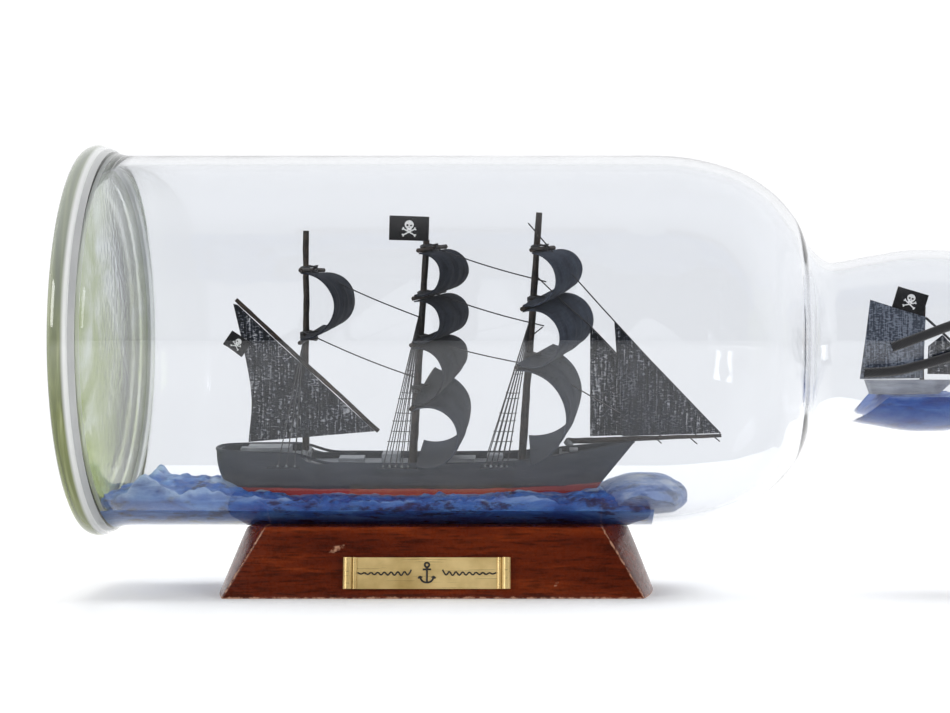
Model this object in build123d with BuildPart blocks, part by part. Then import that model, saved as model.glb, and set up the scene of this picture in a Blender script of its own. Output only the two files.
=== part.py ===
from build123d import *
import os
from math import atan2, cos, degrees, pi, radians, sin, sqrt, tan

# A ship in a bottle: a jar of clear glass lies on its side on a lacquered stand, with a
# three-masted ship on a clay sea inside it and a second, tiny ship in the bulb of its neck.
# Frame: +X along the bottle towards its mouth, +Z up, origin at the centre of the stand's
# underside. All sizes are in millimetres.

os.makedirs("parts", exist_ok=True)

# --- driving dimensions -------------------------------------------------------------------
# stand
stand_height = 19.1
stand_shoulder = 11.0  # height at which the bowed ends break inwards
stand_depth_bottom = 50.0
stand_depth_top = 44.0
# half widths of the stand at its front edges and at mid depth, at foot, shoulder and top
stand_front_widths = (56.9, 50.3, 45.5)
stand_middle_widths = (60.3, 56.0, 52.6)
cradle_gap = 0.3
plate_width, plate_height, plate_thickness = 45.0, 8.4, 0.8
plate_x, plate_z = -1.6, 6.8
scroll_radius, scroll_step_radius = 1.2, 0.65

# bottle
bottle_radius = 51.7
bottle_axis_z = 69.6
glass_wall = 2.4
foot_start, foot_end = -96.6, -91.3
foot_radius = 54.6
foot_hollow = -94.4  # how far in the shallow hollow of the foot reaches
body_end = 59.5
waist_x, waist_radius = 110.5, 21.9
bulb_x, bulb_radius = 135.5, 25.5
neck_start, neck_end, neck_radius = 164.4, 173.2, 11.6
mouth_x, mouth_radius = 178.5, 9.2
lip_radius = 13.8
cork_inner_x, cork_outer_x = 167.0, 183.4
cork_inner_radius, cork_mouth_radius = 8.5, 9.15
cork_gap = 0.05

# cord round the neck
cord_radius = 1.3
lashing_turns = 3
knot_radius = 3.2

# ship: it stands on its own plane, heeled towards the front of the bottle
sea_level = 27.0
heel = 6.5
deck_height, poop_height, forecastle_height = 8.2, 10.6, 10.8
poop_x, forecastle_x = -37.0, 34.0
mast_step = 6.5  # height of the mast feet, inside the hull
yard_radius = 0.6
cloth = 0.4  # thickness of sails and flags
stay_radius, shroud_radius = 0.35, 0.25

bottle_axis = Axis((0, 0, bottle_axis_z), (1, 0, 0))
# the half section of the bottle: x along the bottle, y outwards from its axis
section_plane = Plane(origin=(0, 0, bottle_axis_z), x_dir=(1, 0, 0), z_dir=(0, -1, 0))
ship_plane = Plane(
    origin=(0, 0, sea_level), x_dir=(1, 0, 0), z_dir=(0, -sin(radians(heel)), cos(radians(heel)))
)


def aboard(x, y, height):
    """A point of the ship, from its place along, across and above the waterline."""
    return ship_plane.from_local_coords(Vector(x, y, height))


def sail_plane(y):
    """The fore and aft plane of the ship at y, with its own y axis up the masts."""
    return Plane(origin=aboard(0, y, 0), x_dir=(1, 0, 0), z_dir=-ship_plane.y_dir)


def keep(builder, name):
    """Labels a finished piece and writes it."""
    builder.part.label = name
    export_step(builder.part, f"parts/{name}.step")


def rod(start, end, start_radius, end_radius):
    """A round spar or thread between two points, straight or tapered."""
    start, end = Vector(start), Vector(end)
    with BuildPart() as piece:
        with BuildSketch(Plane(origin=start, z_dir=end - start)):
            Circle(start_radius)
        with BuildSketch(Plane(origin=end, z_dir=end - start)):
            Circle(end_radius)
        loft(ruled=True)
    return piece


def threads(runs, radius):
    """A group of straight threads, each given by its two ends."""
    with BuildPart() as group:
        for start, end in runs:
            add(rod(start, end, radius, radius).part)
    return group


# --- stand --------------------------------------------------------------------------------
# One block with bowed ends, its front and back leaning in, and a shallow cradle on top.
stand_levels = (0, stand_shoulder, stand_height)
with BuildPart() as stand_block:
    for level, front, middle in zip(stand_levels, stand_front_widths, stand_middle_widths):
        depth = stand_depth_bottom + (stand_depth_top - stand_depth_bottom) * level / stand_height
        with BuildSketch(Plane.XY.offset(level)):
            with BuildLine():
                Line((-front, -depth / 2), (front, -depth / 2))
                ThreePointArc((front, -depth / 2), (middle, 0), (front, depth / 2))
                Line((front, depth / 2), (-front, depth / 2))
                ThreePointArc((-front, depth / 2), (-middle, 0), (-front, -depth / 2))
            make_face()
    loft(ruled=True)
    with BuildSketch(Plane.YZ):
        with Locations((0, bottle_axis_z)):
            Circle(bottle_radius + cradle_gap)
    extrude(amount=stand_middle_widths[0], both=True, mode=Mode.SUBTRACT)
    chamfer(stand_block.faces().sort_by(Axis.Z)[0].edges(), length=0.5)
keep(stand_block, "stand_block")

# The brass plate lies on the leaning front, and its two ends are rolled into scrolls.
lean = atan2((stand_depth_bottom - stand_depth_top) / 2, stand_height)
plate_y = -stand_depth_bottom / 2 + plate_z * tan(lean)
plate_plane = Plane(
    origin=(plate_x, plate_y, plate_z), x_dir=(1, 0, 0), z_dir=(0, -cos(lean), sin(lean))
)
scroll_x = plate_width / 2 - scroll_radius
scroll_step_x = scroll_x - scroll_radius - scroll_step_radius
with BuildPart() as nameplate:
    with BuildSketch(plate_plane):
        Rectangle(plate_width - 2 * scroll_radius, plate_height)
    extrude(amount=plate_thickness)
    for end in (-1, 1):
        scroll_foot = Vector(end * scroll_x, -plate_height / 2, scroll_radius)
        scroll_plane = Plane(
            origin=plate_plane.from_local_coords(scroll_foot),
            x_dir=(1, 0, 0),
            z_dir=plate_plane.y_dir,
        )
        with BuildSketch(scroll_plane):
            Circle(scroll_radius)
            with Locations((end * (scroll_step_x - scroll_x), scroll_radius - plate_thickness)):
                Circle(scroll_step_radius)
        extrude(amount=plate_height)
keep(nameplate, "nameplate")

# --- bottle -------------------------------------------------------------------------------
# The outer line of the glass from the foot to the neck; the inner line lies a wall inside it.
flare_points = [(foot_end, 53.5), (-88.5, 52.2), (-84.0, bottle_radius)]
shoulder_points = [
    (body_end, bottle_radius),
    (79.1, 48.9),
    (90.4, 43.6),
    (98.8, 35.4),
    (104.2, 25.9),
    (waist_x, waist_radius),
]
bulb_points = [
    (waist_x, waist_radius),
    (120.5, 23.6),
    (bulb_x, bulb_radius),
    (149.0, 23.6),
    (157.5, 17.4),
    (neck_start, neck_radius),
]
along = (1, 0)


def wall_inside(curve, thickness):
    """Five points a wall thickness inside a stretch of the glass's outer line."""
    return [
        curve.position_at(t) + curve.tangent_at(t).rotate(Axis.Z, -90) * thickness
        for t in (0, 0.25, 0.5, 0.75, 1)
    ]


with BuildPart() as bottle_shell:
    with BuildSketch(section_plane):
        with BuildLine():
            flare = Spline(*flare_points, tangents=[(1, -0.6), along])
            Line(flare @ 1, shoulder_points[0])
            shoulder = Spline(*shoulder_points, tangents=[along, along])
            bulb = Spline(*bulb_points, tangents=[along, along])
            Line(bulb @ 1, (neck_start, neck_radius - glass_wall))
            Spline(*wall_inside(bulb, glass_wall), tangents=[along, along])
            Spline(*wall_inside(shoulder, glass_wall), tangents=[along, along])
            Polyline(
                (body_end, bottle_radius - glass_wall),
                (foot_end, bottle_radius - glass_wall),
                flare @ 0,
            )
        make_face()
    revolve(axis=bottle_axis)
keep(bottle_shell, "bottle_shell")

# The neck carries on from the bulb and ends in a rounded lip. Its bore narrows to the cork.
with BuildPart() as bottle_neck:
    with BuildSketch(section_plane):
        with BuildLine():
            Line((neck_start, neck_radius), (neck_end, neck_radius))
            lip = ThreePointArc(
                (neck_end, neck_radius), ((neck_end + mouth_x) / 2, lip_radius), (mouth_x, neck_radius)
            )
            Polyline(
                lip @ 1,
                (mouth_x, mouth_radius),
                (cork_inner_x, cork_inner_radius + cork_gap),
                (neck_start, neck_radius - glass_wall),
                (neck_start, neck_radius),
            )
        make_face()
    revolve(axis=bottle_axis)
keep(bottle_neck, "bottle_neck")

# The foot is a thick disc of green glass with a rounded rim and a shallow hollow behind.
with BuildPart() as bottle_foot:
    with BuildSketch(section_plane):
        with BuildLine():
            Line((foot_end, 0), (foot_end, 53.5))
            ThreePointArc((foot_end, 53.5), (-94.3, foot_radius), (foot_start, 52.6))
            Line((foot_start, 52.6), (foot_start, 44.0))
            hollow = TangentArc((foot_hollow, 0), (foot_start, 44.0), tangent=(0, 1))
            Line(hollow @ 0, (foot_end, 0))
        make_face()
    revolve(axis=bottle_axis)
keep(bottle_foot, "bottle_foot")

with BuildPart() as cork_stopper:
    with BuildSketch(section_plane):
        with BuildLine():
            Polyline(
                (cork_inner_x, 0),
                (cork_inner_x, cork_inner_radius),
                (mouth_x, cork_mouth_radius),
                (cork_outer_x, cork_mouth_radius + 0.35),
                (cork_outer_x, 0),
                close=True,
            )
        make_face()
    revolve(axis=bottle_axis)
    chamfer(cork_stopper.faces().sort_by(Axis.X)[-1].edges(), length=0.6)
keep(cork_stopper, "cork_stopper")

# --- cord round the neck ------------------------------------------------------------------
lashing_x = (neck_start + neck_end) / 2
lashing_width = 2 * cord_radius * lashing_turns
with BuildPart() as neck_lashing:
    with BuildSketch(Plane.YZ.offset(lashing_x - lashing_width / 2)):
        with Locations((0, bottle_axis_z)):
            Circle(neck_radius + 0.05 + 2 * cord_radius)
            Circle(neck_radius + 0.05, mode=Mode.SUBTRACT)
    extrude(amount=lashing_width)
keep(neck_lashing, "neck_lashing")

knot_centre = (168.0, -15.9, 74.9)
with BuildPart() as neck_knot:
    with Locations(knot_centre):
        Sphere(knot_radius)
keep(neck_knot, "neck_knot")

# Each tail leaves the knot and lies over the front of the bulb to its cut end.
tail_routes = {
    "cord_tail_upper": [
        (165.5, -15.9, 75.5),
        (160.0, -19.9, 76.4),
        (154.0, -24.1, 77.0),
        (147.0, -26.5, 76.0),
        (138.5, -27.0, 73.4),
        (130.3, -26.8, 70.2),
        (123.3, -25.8, 67.6),
    ],
    "cord_tail_lower": [
        (165.5, -16.7, 72.6),
        (160.0, -20.8, 72.0),
        (154.0, -25.0, 70.3),
        (147.0, -27.2, 67.8),
        (138.6, -26.9, 65.0),
        (131.0, -26.1, 62.8),
        (123.6, -24.6, 60.9),
        (116.4, -22.7, 60.7),
    ],
}


def bend_radii(points):
    """The radius of each bend of a route: as large as the shorter run beside it allows."""
    radii = []
    for before, at, after in zip(points, points[1:], points[2:]):
        run_in, run_out = Vector(at) - Vector(before), Vector(after) - Vector(at)
        half_turn = radians(run_in.get_angle(run_out)) / 2
        radii.append(0.45 * min(run_in.length, run_out.length) / tan(half_turn))
    return radii


for name, route in tail_routes.items():
    radii = bend_radii(route)
    with BuildPart() as tail:
        with BuildLine() as tail_line:
            path = FilletPolyline(*route, radius=radii)
        with BuildSketch(Plane(origin=path @ 0, z_dir=path % 0)):
            Circle(cord_radius)
        sweep(path=path)
    keep(tail, name)
    expected = pi * cord_radius**2 * path.length
    print(name, "length", round(path.length, 1), "radii", [round(r) for r in radii])
    print(name, "volume", round(tail.part.volume, 2), "section x length", round(expected, 2))

# --- ship: hull and deck ------------------------------------------------------------------
# outlines: (x of the stern, corner beside it, broadest point, bow shoulder, bow cheek, x of the stem)
rail_outline = (-61.6, (-57.0, 6.4), (-16.0, 10.0), (25.0, 8.6), (42.0, 5.0), 55.0)
keel_outline = (-56.7, (-53.2, 5.1), (-18.0, 8.5), (17.5, 7.1), (32.0, 4.0), 42.7)
well_outline = (-58.8, (-55.2, 4.9), (-16.0, 8.4), (22.5, 7.0), (37.5, 3.8), 47.8)
hull_bottom, hull_top = -1.2, 14.6  # the hull is pressed a little into the clay


def draw_outline(outline):
    """A hull's plan of five arcs: a round stern, two long sides and two cheeks meeting at the stem."""
    stern_x, corner, broadest, shoulder_corner, cheek, stem_x = outline
    ThreePointArc((corner[0], -corner[1]), (stern_x, 0), corner)
    for side in (1, -1):
        stern_corner, middle, bow_corner, bow_cheek = (
            (x, side * y) for x, y in (corner, broadest, shoulder_corner, cheek)
        )
        ThreePointArc(stern_corner, middle, bow_corner)
        ThreePointArc(bow_corner, bow_cheek, (stem_x, 0))


def sheer_solid(height_points):
    """All that lies below a line along the ship, right across it."""
    with BuildPart() as below:
        with BuildSketch(sail_plane(0)):
            with BuildLine():
                Polyline((-70, -5), *height_points, (70, -5), close=True)
            make_face()
        extrude(amount=20, both=True)
    return below.part


rail_heights = [
    (-70, 12.7),
    (poop_x, 12.3),
    (poop_x + 2, 9.8),
    (0, 9.5),
    (22, 9.9),
    (forecastle_x, 11.4),
    (50, 13.6),
    (70, 16.0),
]
deck_heights = [
    (-70, poop_height),
    (poop_x + 1, poop_height),
    (poop_x + 1, deck_height),
    (forecastle_x, deck_height),
    (forecastle_x, forecastle_height),
    (70, forecastle_height),
]
deck_thickness = 0.6
under_deck_heights = [(x, height - deck_thickness) for x, height in deck_heights]

with BuildPart() as deck_well:
    with BuildSketch(ship_plane):
        with BuildLine():
            draw_outline(well_outline)
        make_face()
    extrude(amount=20)

with BuildPart() as hull:
    for height, outline in ((hull_bottom, keel_outline), (hull_top, rail_outline)):
        with BuildSketch(ship_plane.offset(height)):
            with BuildLine():
                draw_outline(outline)
            make_face()
    loft(ruled=True)
    add(sheer_solid(rail_heights), mode=Mode.INTERSECT)
    add(deck_well.part - sheer_solid(under_deck_heights), mode=Mode.SUBTRACT)
keep(hull, "hull")

# Planked deck on three levels, laid in the well of the hull.
with BuildPart() as deck:
    add(deck_well.part)
    add(sheer_solid(deck_heights), mode=Mode.INTERSECT)
    add(sheer_solid(under_deck_heights), mode=Mode.SUBTRACT)
keep(deck, "deck")

# --- ship: spars --------------------------------------------------------------------------
# mast: x at the foot, x at the head, height of the head, radius at the foot and at the head
masts = {
    "mizzen": (-37.0, -36.0, 73.3, 1.0, 0.8),
    "main": (-7.1, -2.7, 70.8, 1.15, 0.85),
    "fore": (23.4, 28.4, 78.3, 1.15, 0.85),
}
for name, (foot_x, head_x, head_height, foot_r, head_r) in masts.items():
    mast = rod(aboard(foot_x, 0, mast_step), aboard(head_x, 0, head_height), foot_r, head_r)
    keep(mast, f"{name}_mast")


def mast_x(mast, height):
    """Where a mast stands at a given height."""
    foot_x, head_x, head_height, _, _ = masts[mast]
    return foot_x + (head_x - foot_x) * (height - mast_step) / (head_height - mast_step)


keep(rod(aboard(36.6, 0, 14.5), aboard(79.3, 0, 16.1), 0.85, 0.5), "bowsprit")
peak, tack = (-55.4, -1.8, 54.4), (-16.4, -1.8, 17.6)
keep(rod(aboard(*tack), aboard(*peak), yard_radius, yard_radius), "lateen_yard")

# yard: mast, height, half length, brace (its far arm swung towards the bow), cant (far arm up)
yards = {
    "mizzen_upper_yard": ("mizzen", 62.4, 11.0, 10.0, -3.5),
    "mizzen_lower_yard": ("mizzen", 44.3, 13.0, 8.0, 3.5),
    "main_royal_yard": ("main", 68.4, 10.0, 19.0, 0.5),
    "main_topgallant_yard": ("main", 55.6, 13.0, 16.0, 0.5),
    "main_topsail_yard": ("main", 43.3, 14.0, 14.0, 1.5),
    "main_course_yard": ("main", 29.3, 17.0, 8.0, 11.5),
    "fore_topgallant_yard": ("fore", 68.3, 9.0, 20.0, -0.5),
    "fore_topsail_yard": ("fore", 54.1, 13.0, 21.0, 6.5),
    "fore_course_yard": ("fore", 38.2, 15.0, 20.0, 5.0),
}
mast_clearance = 1.7  # from the middle of a mast to the middle of a yard lashed in front of it


def yard_point(name, side, rise=0.0, share=1.0):
    """A point above or below a yard, out along one arm: side -1 is the near arm, 1 the far."""
    mast, height, half_length, brace, cant = yards[name]
    out = share * half_length * side
    level = out * cos(radians(cant))
    return aboard(
        mast_x(mast, height) + mast_clearance + level * sin(radians(brace)),
        level * cos(radians(brace)),
        height + out * sin(radians(cant)) + rise,
    )


for name in yards:
    keep(rod(yard_point(name, -1), yard_point(name, 1), yard_radius, yard_radius), name)

# --- ship: square sails -------------------------------------------------------------------
# sail: the yard above, the yard below or the two free corners, and the depth of its belly
square_sails = {
    "mizzen_topsail": ("mizzen_upper_yard", "mizzen_lower_yard", 9.0),
    "main_royal": ("main_royal_yard", "main_topgallant_yard", 6.6),
    "main_topgallant": ("main_topgallant_yard", "main_topsail_yard", 7.4),
    "main_topsail": ("main_topsail_yard", "main_course_yard", 8.6),
    "main_course": ("main_course_yard", [(-5.1, -16.1, 10.3), (-5.1, 18.3, 11.7)], 12.0),
    "fore_topgallant": ("fore_topgallant_yard", "fore_topsail_yard", 7.8),
    "fore_topsail": ("fore_topsail_yard", "fore_course_yard", 11.0),
    "fore_course": ("fore_course_yard", [(26.3, -15.2, 10.3), (25.3, 17.5, 13.2)], 11.5),
}
sail_share = 0.96  # how far out along its yard a sail reaches
lashing_gap = 0.85  # from the middle of a yard to the edge of the cloth


def sail_edge(head_yard, foot, side):
    """The top and bottom ends of a sail's near (-1) or far (1) edge."""
    top = yard_point(head_yard, side, -lashing_gap, sail_share)
    if isinstance(foot, str):
        return top, yard_point(foot, side, lashing_gap, sail_share)
    return top, aboard(*foot[(side + 1) // 2])


def square_sail(head_yard, foot, belly):
    """A sail as one round sheet, from the curve of its near edge to that of its far edge."""
    with BuildPart() as sail:
        for side in (-1, 1):
            top, bottom = sail_edge(head_yard, foot, side)
            drop = bottom - top
            wind = Vector(1, 0, 0) - drop * (drop.X / drop.length**2)
            edge_plane = Plane(origin=top, x_dir=drop, z_dir=drop.cross(wind))
            length = drop.length
            with BuildSketch(edge_plane):
                with BuildLine():
                    ThreePointArc((0, 0), (length / 2, belly), (length, 0))
                    Line((length, 0), (length - cloth, 0))
                    ThreePointArc((length - cloth, 0), (length / 2, belly - cloth), (cloth, 0))
                    Line((cloth, 0), (0, 0))
                make_face()
        loft(ruled=True)
    return sail


for name, (head_yard, foot, belly) in square_sails.items():
    keep(square_sail(head_yard, foot, belly), name)

# --- ship: fore and aft sails, flags ------------------------------------------------------
with BuildPart() as spanker:
    with BuildSketch(sail_plane(tack[1])):
        with BuildLine():
            Line((-55.0, 52.9), (-17.4, 17.6))
            Line((-17.4, 17.6), (-52.6, 14.6))
            Spline((-52.6, 14.6), (-51.6, 27.0), (-53.4, 40.0), (-56.2, 53.2))
            Line((-56.2, 53.2), (-55.0, 52.9))
        make_face()
    extrude(amount=cloth / 2, both=True)
keep(spanker, "spanker")

jibs = {
    "outer_jib": (-0.6, [(49.3, 48.0), (79.0, 17.3), (51.6, 17.0)]),
    "inner_jib": (0.6, [(42.6, 46.6), (71.0, 17.2), (42.6, 16.8)]),
}
for name, (y, corners) in jibs.items():
    with BuildPart() as jib:
        with BuildSketch(sail_plane(y)):
            with BuildLine():
                Polyline(*corners, close=True)
            make_face()
        extrude(amount=cloth / 2, both=True)
    keep(jib, name)


def flag(plane, x, height, width, drop, angle):
    """A stiff little flag, by the middle of its cloth."""
    with BuildPart() as piece:
        with BuildSketch(plane):
            with Locations((x, height)):
                Rectangle(width, drop, rotation=angle)
        extrude(amount=cloth / 2, both=True)
    return piece


keep(flag(sail_plane(-1.4), -7.4, 74.0, 10.9, 6.7, -2), "main_flag")
keep(flag(sail_plane(-2.6), -55.2, 42.2, 6.3, 4.6, -35), "mizzen_flag")

# --- ship: rigging ------------------------------------------------------------------------
# Stays run along the middle of the ship from mast to mast, and from the foremast to the bowsprit.
stays = {
    "mizzen_stays": [((-36.6, 63.6), (-4.9, 49.4)), ((-35.6, 44.6), (-5.9, 32.4))],
    "main_stays": [
        ((-2.6, 69.4), (30.4, 59.2)),
        ((-3.6, 57.2), (29.8, 46.9)),
        ((-5.1, 43.6), (23.9, 36.4)),
    ],
    "fore_stays": [
        ((25.4, 75.4), (49.6, 47.8)),
        ((49.6, 47.8), (79.0, 16.4)),
        ((27.0, 61.4), (72.4, 16.0)),
        ((25.0, 38.2), (62.8, 15.6)),
    ],
}
for name, runs in stays.items():
    ends = [(aboard(x1, 0, h1), aboard(x2, 0, h2)) for (x1, h1), (x2, h2) in runs]
    keep(threads(ends, stay_radius), name)

# Shrouds fan down from each mast to the rail on both sides, and ratlines cross them.
channel_height, channel_y = 9.2, 10.3
# mast: height of the heads, x of the first thread at the rail, step between threads, count
shroud_sets = {
    "mizzen_shrouds": ("mizzen", 42.0, -43.4, 2.3, 3),
    "main_shrouds": ("main", 49.8, -14.4, 1.7, 5),
    "fore_shrouds": ("fore", 47.4, 13.6, 1.5, 5),
}
ratline_heights = (30.6, 22.6, 15.9)
head_step = 0.8  # each thread is tied to the mast below the one before
for name, (mast, head_height, first_x, step, count) in shroud_sets.items():
    head_x = mast_x(mast, head_height)
    last_x = first_x + step * (count - 1)
    runs = []
    for side in (-1, 1):
        head = (head_x - 0.8, side * 0.9, head_height)
        for index in range(count):
            tied = (head[0], head[1], head_height - head_step * index)
            runs.append((tied, (first_x + step * index, side * channel_y, channel_height)))
        for ratline in ratline_heights:
            if name == "mizzen_shrouds":
                continue
            share = (head_height - ratline) / (head_height - channel_height)
            y = side * (0.9 + (channel_y - 0.9) * share)
            low_x = head[0] + (first_x - 0.6 - head[0]) * share
            high_x = head[0] + (last_x + 0.9 - head[0]) * share
            runs.append(((low_x, y, ratline + 0.3), (high_x, y, ratline - 0.3)))
    ends = [(aboard(*start), aboard(*end)) for start, end in runs]
    keep(threads(ends, shroud_radius), name)

# --- sea ----------------------------------------------------------------------------------
# Clay laid along the bottom of the bottle, flat on top here, and a round swell under the bow.
sea_end = 70.0
clay_gap = 0.1
with BuildPart() as sea:
    with BuildSketch(Plane.YZ.offset(foot_end + clay_gap)):
        with Locations((0, bottle_axis_z)):
            Circle(bottle_radius - glass_wall - clay_gap)
        with Locations((0, sea_level + bottle_radius)):
            Rectangle(2 * bottle_radius, 2 * bottle_radius, mode=Mode.SUBTRACT)
    extrude(amount=body_end - foot_end)
    with BuildSketch(Plane.XY):
        with Locations((sea_end + 50, 0)):
            Rectangle(100, 200)
    extrude(amount=sea_level, mode=Mode.SUBTRACT)
    add(hull.part, mode=Mode.SUBTRACT)
keep(sea, "sea")

swell_x, swell_radius, swell_height = 58.0, 12.0, 6.0
with BuildPart() as bow_swell:
    with BuildSketch(Plane(origin=(swell_x, 0, sea_level), x_dir=(1, 0, 0), z_dir=(0, -1, 0))):
        with BuildLine():
            ThreePointArc(
                (0, swell_height),
                (swell_radius * 0.55, swell_height * 0.72),
                (swell_radius, 0),
            )
            Line((swell_radius, 0), (0, 0))
            Line((0, 0), (0, swell_height))
        make_face()
    revolve(axis=Axis((swell_x, 0, 0), (0, 0, 1)))
keep(bow_swell, "bow_swell")

# --- small ship in the neck ---------------------------------------------------------------
neck_sea_level, neck_hull_height = 54.6, 4.0
neck_sea_start, neck_sea_end, neck_sea_edge = 117.0, 153.0, 49.0
neck_clay_gap = 0.3
with BuildPart() as neck_sea:
    with BuildSketch(section_plane):
        with BuildLine():
            bulb_outer = Spline(*bulb_points, tangents=[along, along], mode=Mode.PRIVATE)
            clay_line = wall_inside(bulb_outer, glass_wall + neck_clay_gap)
            bulb_line = Spline(*clay_line, tangents=[along, along])
            Polyline(bulb_line @ 1, (neck_start, 0), (waist_x, 0), bulb_line @ 0)
        make_face()
    revolve(axis=bottle_axis)
    with BuildSketch(Plane.XZ):
        with BuildLine():
            ThreePointArc(
                (neck_sea_start, neck_sea_edge),
                ((neck_sea_start + neck_sea_end) / 2, neck_sea_level),
                (neck_sea_end, neck_sea_edge),
            )
            Polyline(
                (neck_sea_end, neck_sea_edge),
                (neck_sea_end, 0),
                (neck_sea_start, 0),
                (neck_sea_start, neck_sea_edge),
            )
        make_face()
    extrude(amount=bulb_radius, both=True, mode=Mode.INTERSECT)
keep(neck_sea, "neck_sea")

neck_rail_outline = (119.6, (120.8, 2.2), (127.0, 3.3), (134.6, 2.9), (140.2, 1.7), 145.0)
neck_water_outline = (121.0, (122.0, 1.7), (127.0, 2.6), (133.0, 2.3), (137.2, 1.3), 140.5)
with BuildPart() as neck_hull:
    levels = (neck_sea_level, neck_sea_level + neck_hull_height)
    for level, outline in zip(levels, (neck_water_outline, neck_rail_outline)):
        with BuildSketch(Plane.XY.offset(level)):
            with BuildLine():
                draw_outline(outline)
            make_face()
    loft(ruled=True)
keep(neck_hull, "neck_hull")

neck_deck_z = neck_sea_level + neck_hull_height
keep(rod((135.8, 0, neck_deck_z), (136.4, 0, 79.0), 0.6, 0.45), "neck_mast")


def neck_plane(y):
    """The upright plane along the bottle at y, with its own y axis up."""
    return Plane(origin=(0, y, 0), x_dir=(1, 0, 0), z_dir=(0, -1, 0))


neck_sails = {
    "neck_mainsail": (-0.9, [(121.2, 81.0), (136.7, 76.2), (135.9, 59.0), (118.3, 58.8)]),
    "neck_jib": (0.0, [(141.5, 71.2), (137.6, 68.0), (137.4, 60.2), (152.6, 60.0)]),
}
for name, (y, corners) in neck_sails.items():
    with BuildPart() as neck_sail:
        with BuildSketch(neck_plane(y)):
            with BuildLine():
                Polyline(*corners, close=True)
            make_face()
        extrude(amount=cloth / 2, both=True)
    keep(neck_sail, name)
keep(flag(neck_plane(-1.5), 132.3, 80.6, 8.8, 6.0, -17), "neck_flag")
neck_stay_ends = [((136.9, 0, 76.0), (141.6, 0, 71.7)), ((141.6, 0, 71.7), (153.4, 0, 60.6))]
keep(threads([*neck_stay_ends, ((153.4, 0, 60.6), (144.0, 0, 58.2))], stay_radius), "neck_stay")
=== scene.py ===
"""The looks of the ship in a bottle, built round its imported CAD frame. Metres, +Z up."""
import math

import bmesh
import bpy
from mathutils import Matrix, Vector, noise


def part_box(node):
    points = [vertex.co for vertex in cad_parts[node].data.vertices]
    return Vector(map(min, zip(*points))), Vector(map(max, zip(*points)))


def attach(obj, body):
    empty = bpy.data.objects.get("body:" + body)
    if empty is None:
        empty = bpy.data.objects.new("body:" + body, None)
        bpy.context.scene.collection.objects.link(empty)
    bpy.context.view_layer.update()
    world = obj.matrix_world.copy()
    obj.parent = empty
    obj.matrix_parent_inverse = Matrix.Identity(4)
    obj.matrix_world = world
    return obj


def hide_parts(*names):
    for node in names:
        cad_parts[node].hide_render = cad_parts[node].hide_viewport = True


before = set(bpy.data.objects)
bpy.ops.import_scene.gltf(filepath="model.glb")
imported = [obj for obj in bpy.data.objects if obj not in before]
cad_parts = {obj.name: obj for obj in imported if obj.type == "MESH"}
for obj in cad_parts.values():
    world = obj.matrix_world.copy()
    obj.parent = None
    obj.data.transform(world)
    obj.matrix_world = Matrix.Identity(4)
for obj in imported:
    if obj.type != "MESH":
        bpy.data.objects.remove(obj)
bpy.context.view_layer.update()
MM = 0.001

# --- camera -------------------------------------------------------------------------------
# The bottle is seen square on from the front, from about half a metre, a little below its
# axis. The view is shifted so that the mouth of the bottle runs out of the frame.
camera_data = bpy.data.cameras.new("camera")
camera_data.sensor_width = 36.0
camera_data.lens = 76.1
camera_data.shift_x = -0.0842
camera_data.clip_start = 0.01
camera = bpy.data.objects.new("camera", camera_data)
bpy.context.scene.collection.objects.link(camera)
camera.location = (0.0328, -0.564, 0.0651)
camera.rotation_euler = (math.radians(90), 0, 0)
bpy.context.scene.camera = camera

# --- floor and light ----------------------------------------------------------------------
# A flat white table runs back under the bottle into the light of a white tent, dimmer on
# the viewer's side. Of the three softboxes only the left one is mirrored in the glass.


def link_input(tree, socket, value):
    """Feeds a socket from another socket, or sets it."""
    if isinstance(value, bpy.types.NodeSocket):
        tree.links.new(value, socket)
    else:
        socket.default_value = value


def node(tree, kind, inputs=None, **settings):
    """Adds a shader node, sets it up and feeds its inputs by name or number."""
    made = tree.nodes.new("ShaderNode" + kind)
    for name, value in settings.items():
        setattr(made, name, value)
    for name, value in (inputs or {}).items():
        link_input(tree, made.inputs[name], value)
    return made


def remap(tree, value, low, high, to_low=0.0, to_high=1.0):
    """Carries a value from one range over to another, and holds it within that range."""
    ranges = {"From Min": low, "From Max": high, "To Min": to_low, "To Max": to_high}
    return node(tree, "MapRange", {"Value": value, **ranges}).outputs["Result"]


def calculate(tree, operation, *values):
    return node(tree, "Math", dict(enumerate(values)), operation=operation).outputs["Value"]


def blended(tree, share, first, second, **settings):
    """Mixes a second colour into a first, by a share."""
    colours = {"Fac": share, "Color1": first, "Color2": second}
    return node(tree, "MixRGB", colours, **settings).outputs["Color"]


def scaled(tree, place, scale):
    return node(tree, "Mapping", {"Vector": place, "Scale": scale}).outputs["Vector"]


def mottling(tree, place, scale, detail, **settings):
    """Cloudy noise between 0 and 1."""
    inputs = {"Vector": place, "Scale": scale, "Detail": detail, **settings}
    return node(tree, "TexNoise", inputs).outputs["Fac"]


def shaded(tree, share, *stops, easing="LINEAR"):
    """The colour at a share along a ramp of (position, colour) stops."""
    ramp = node(tree, "ValToRGB", {"Fac": share})
    ramp.color_ramp.interpolation = easing
    elements = ramp.color_ramp.elements
    for index, (position, colour) in enumerate(stops):
        stop = elements[index] if index < 2 else elements.new(position)
        stop.position, stop.color = position, colour
    return ramp.outputs["Color"]


def bumped(tree, shader, height, strength, distance):
    """Raises the surface of a shader by a height."""
    bump = node(tree, "Bump", {"Strength": strength, "Distance": distance, "Height": height})
    link_input(tree, shader.inputs["Normal"], bump.outputs["Normal"])


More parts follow.
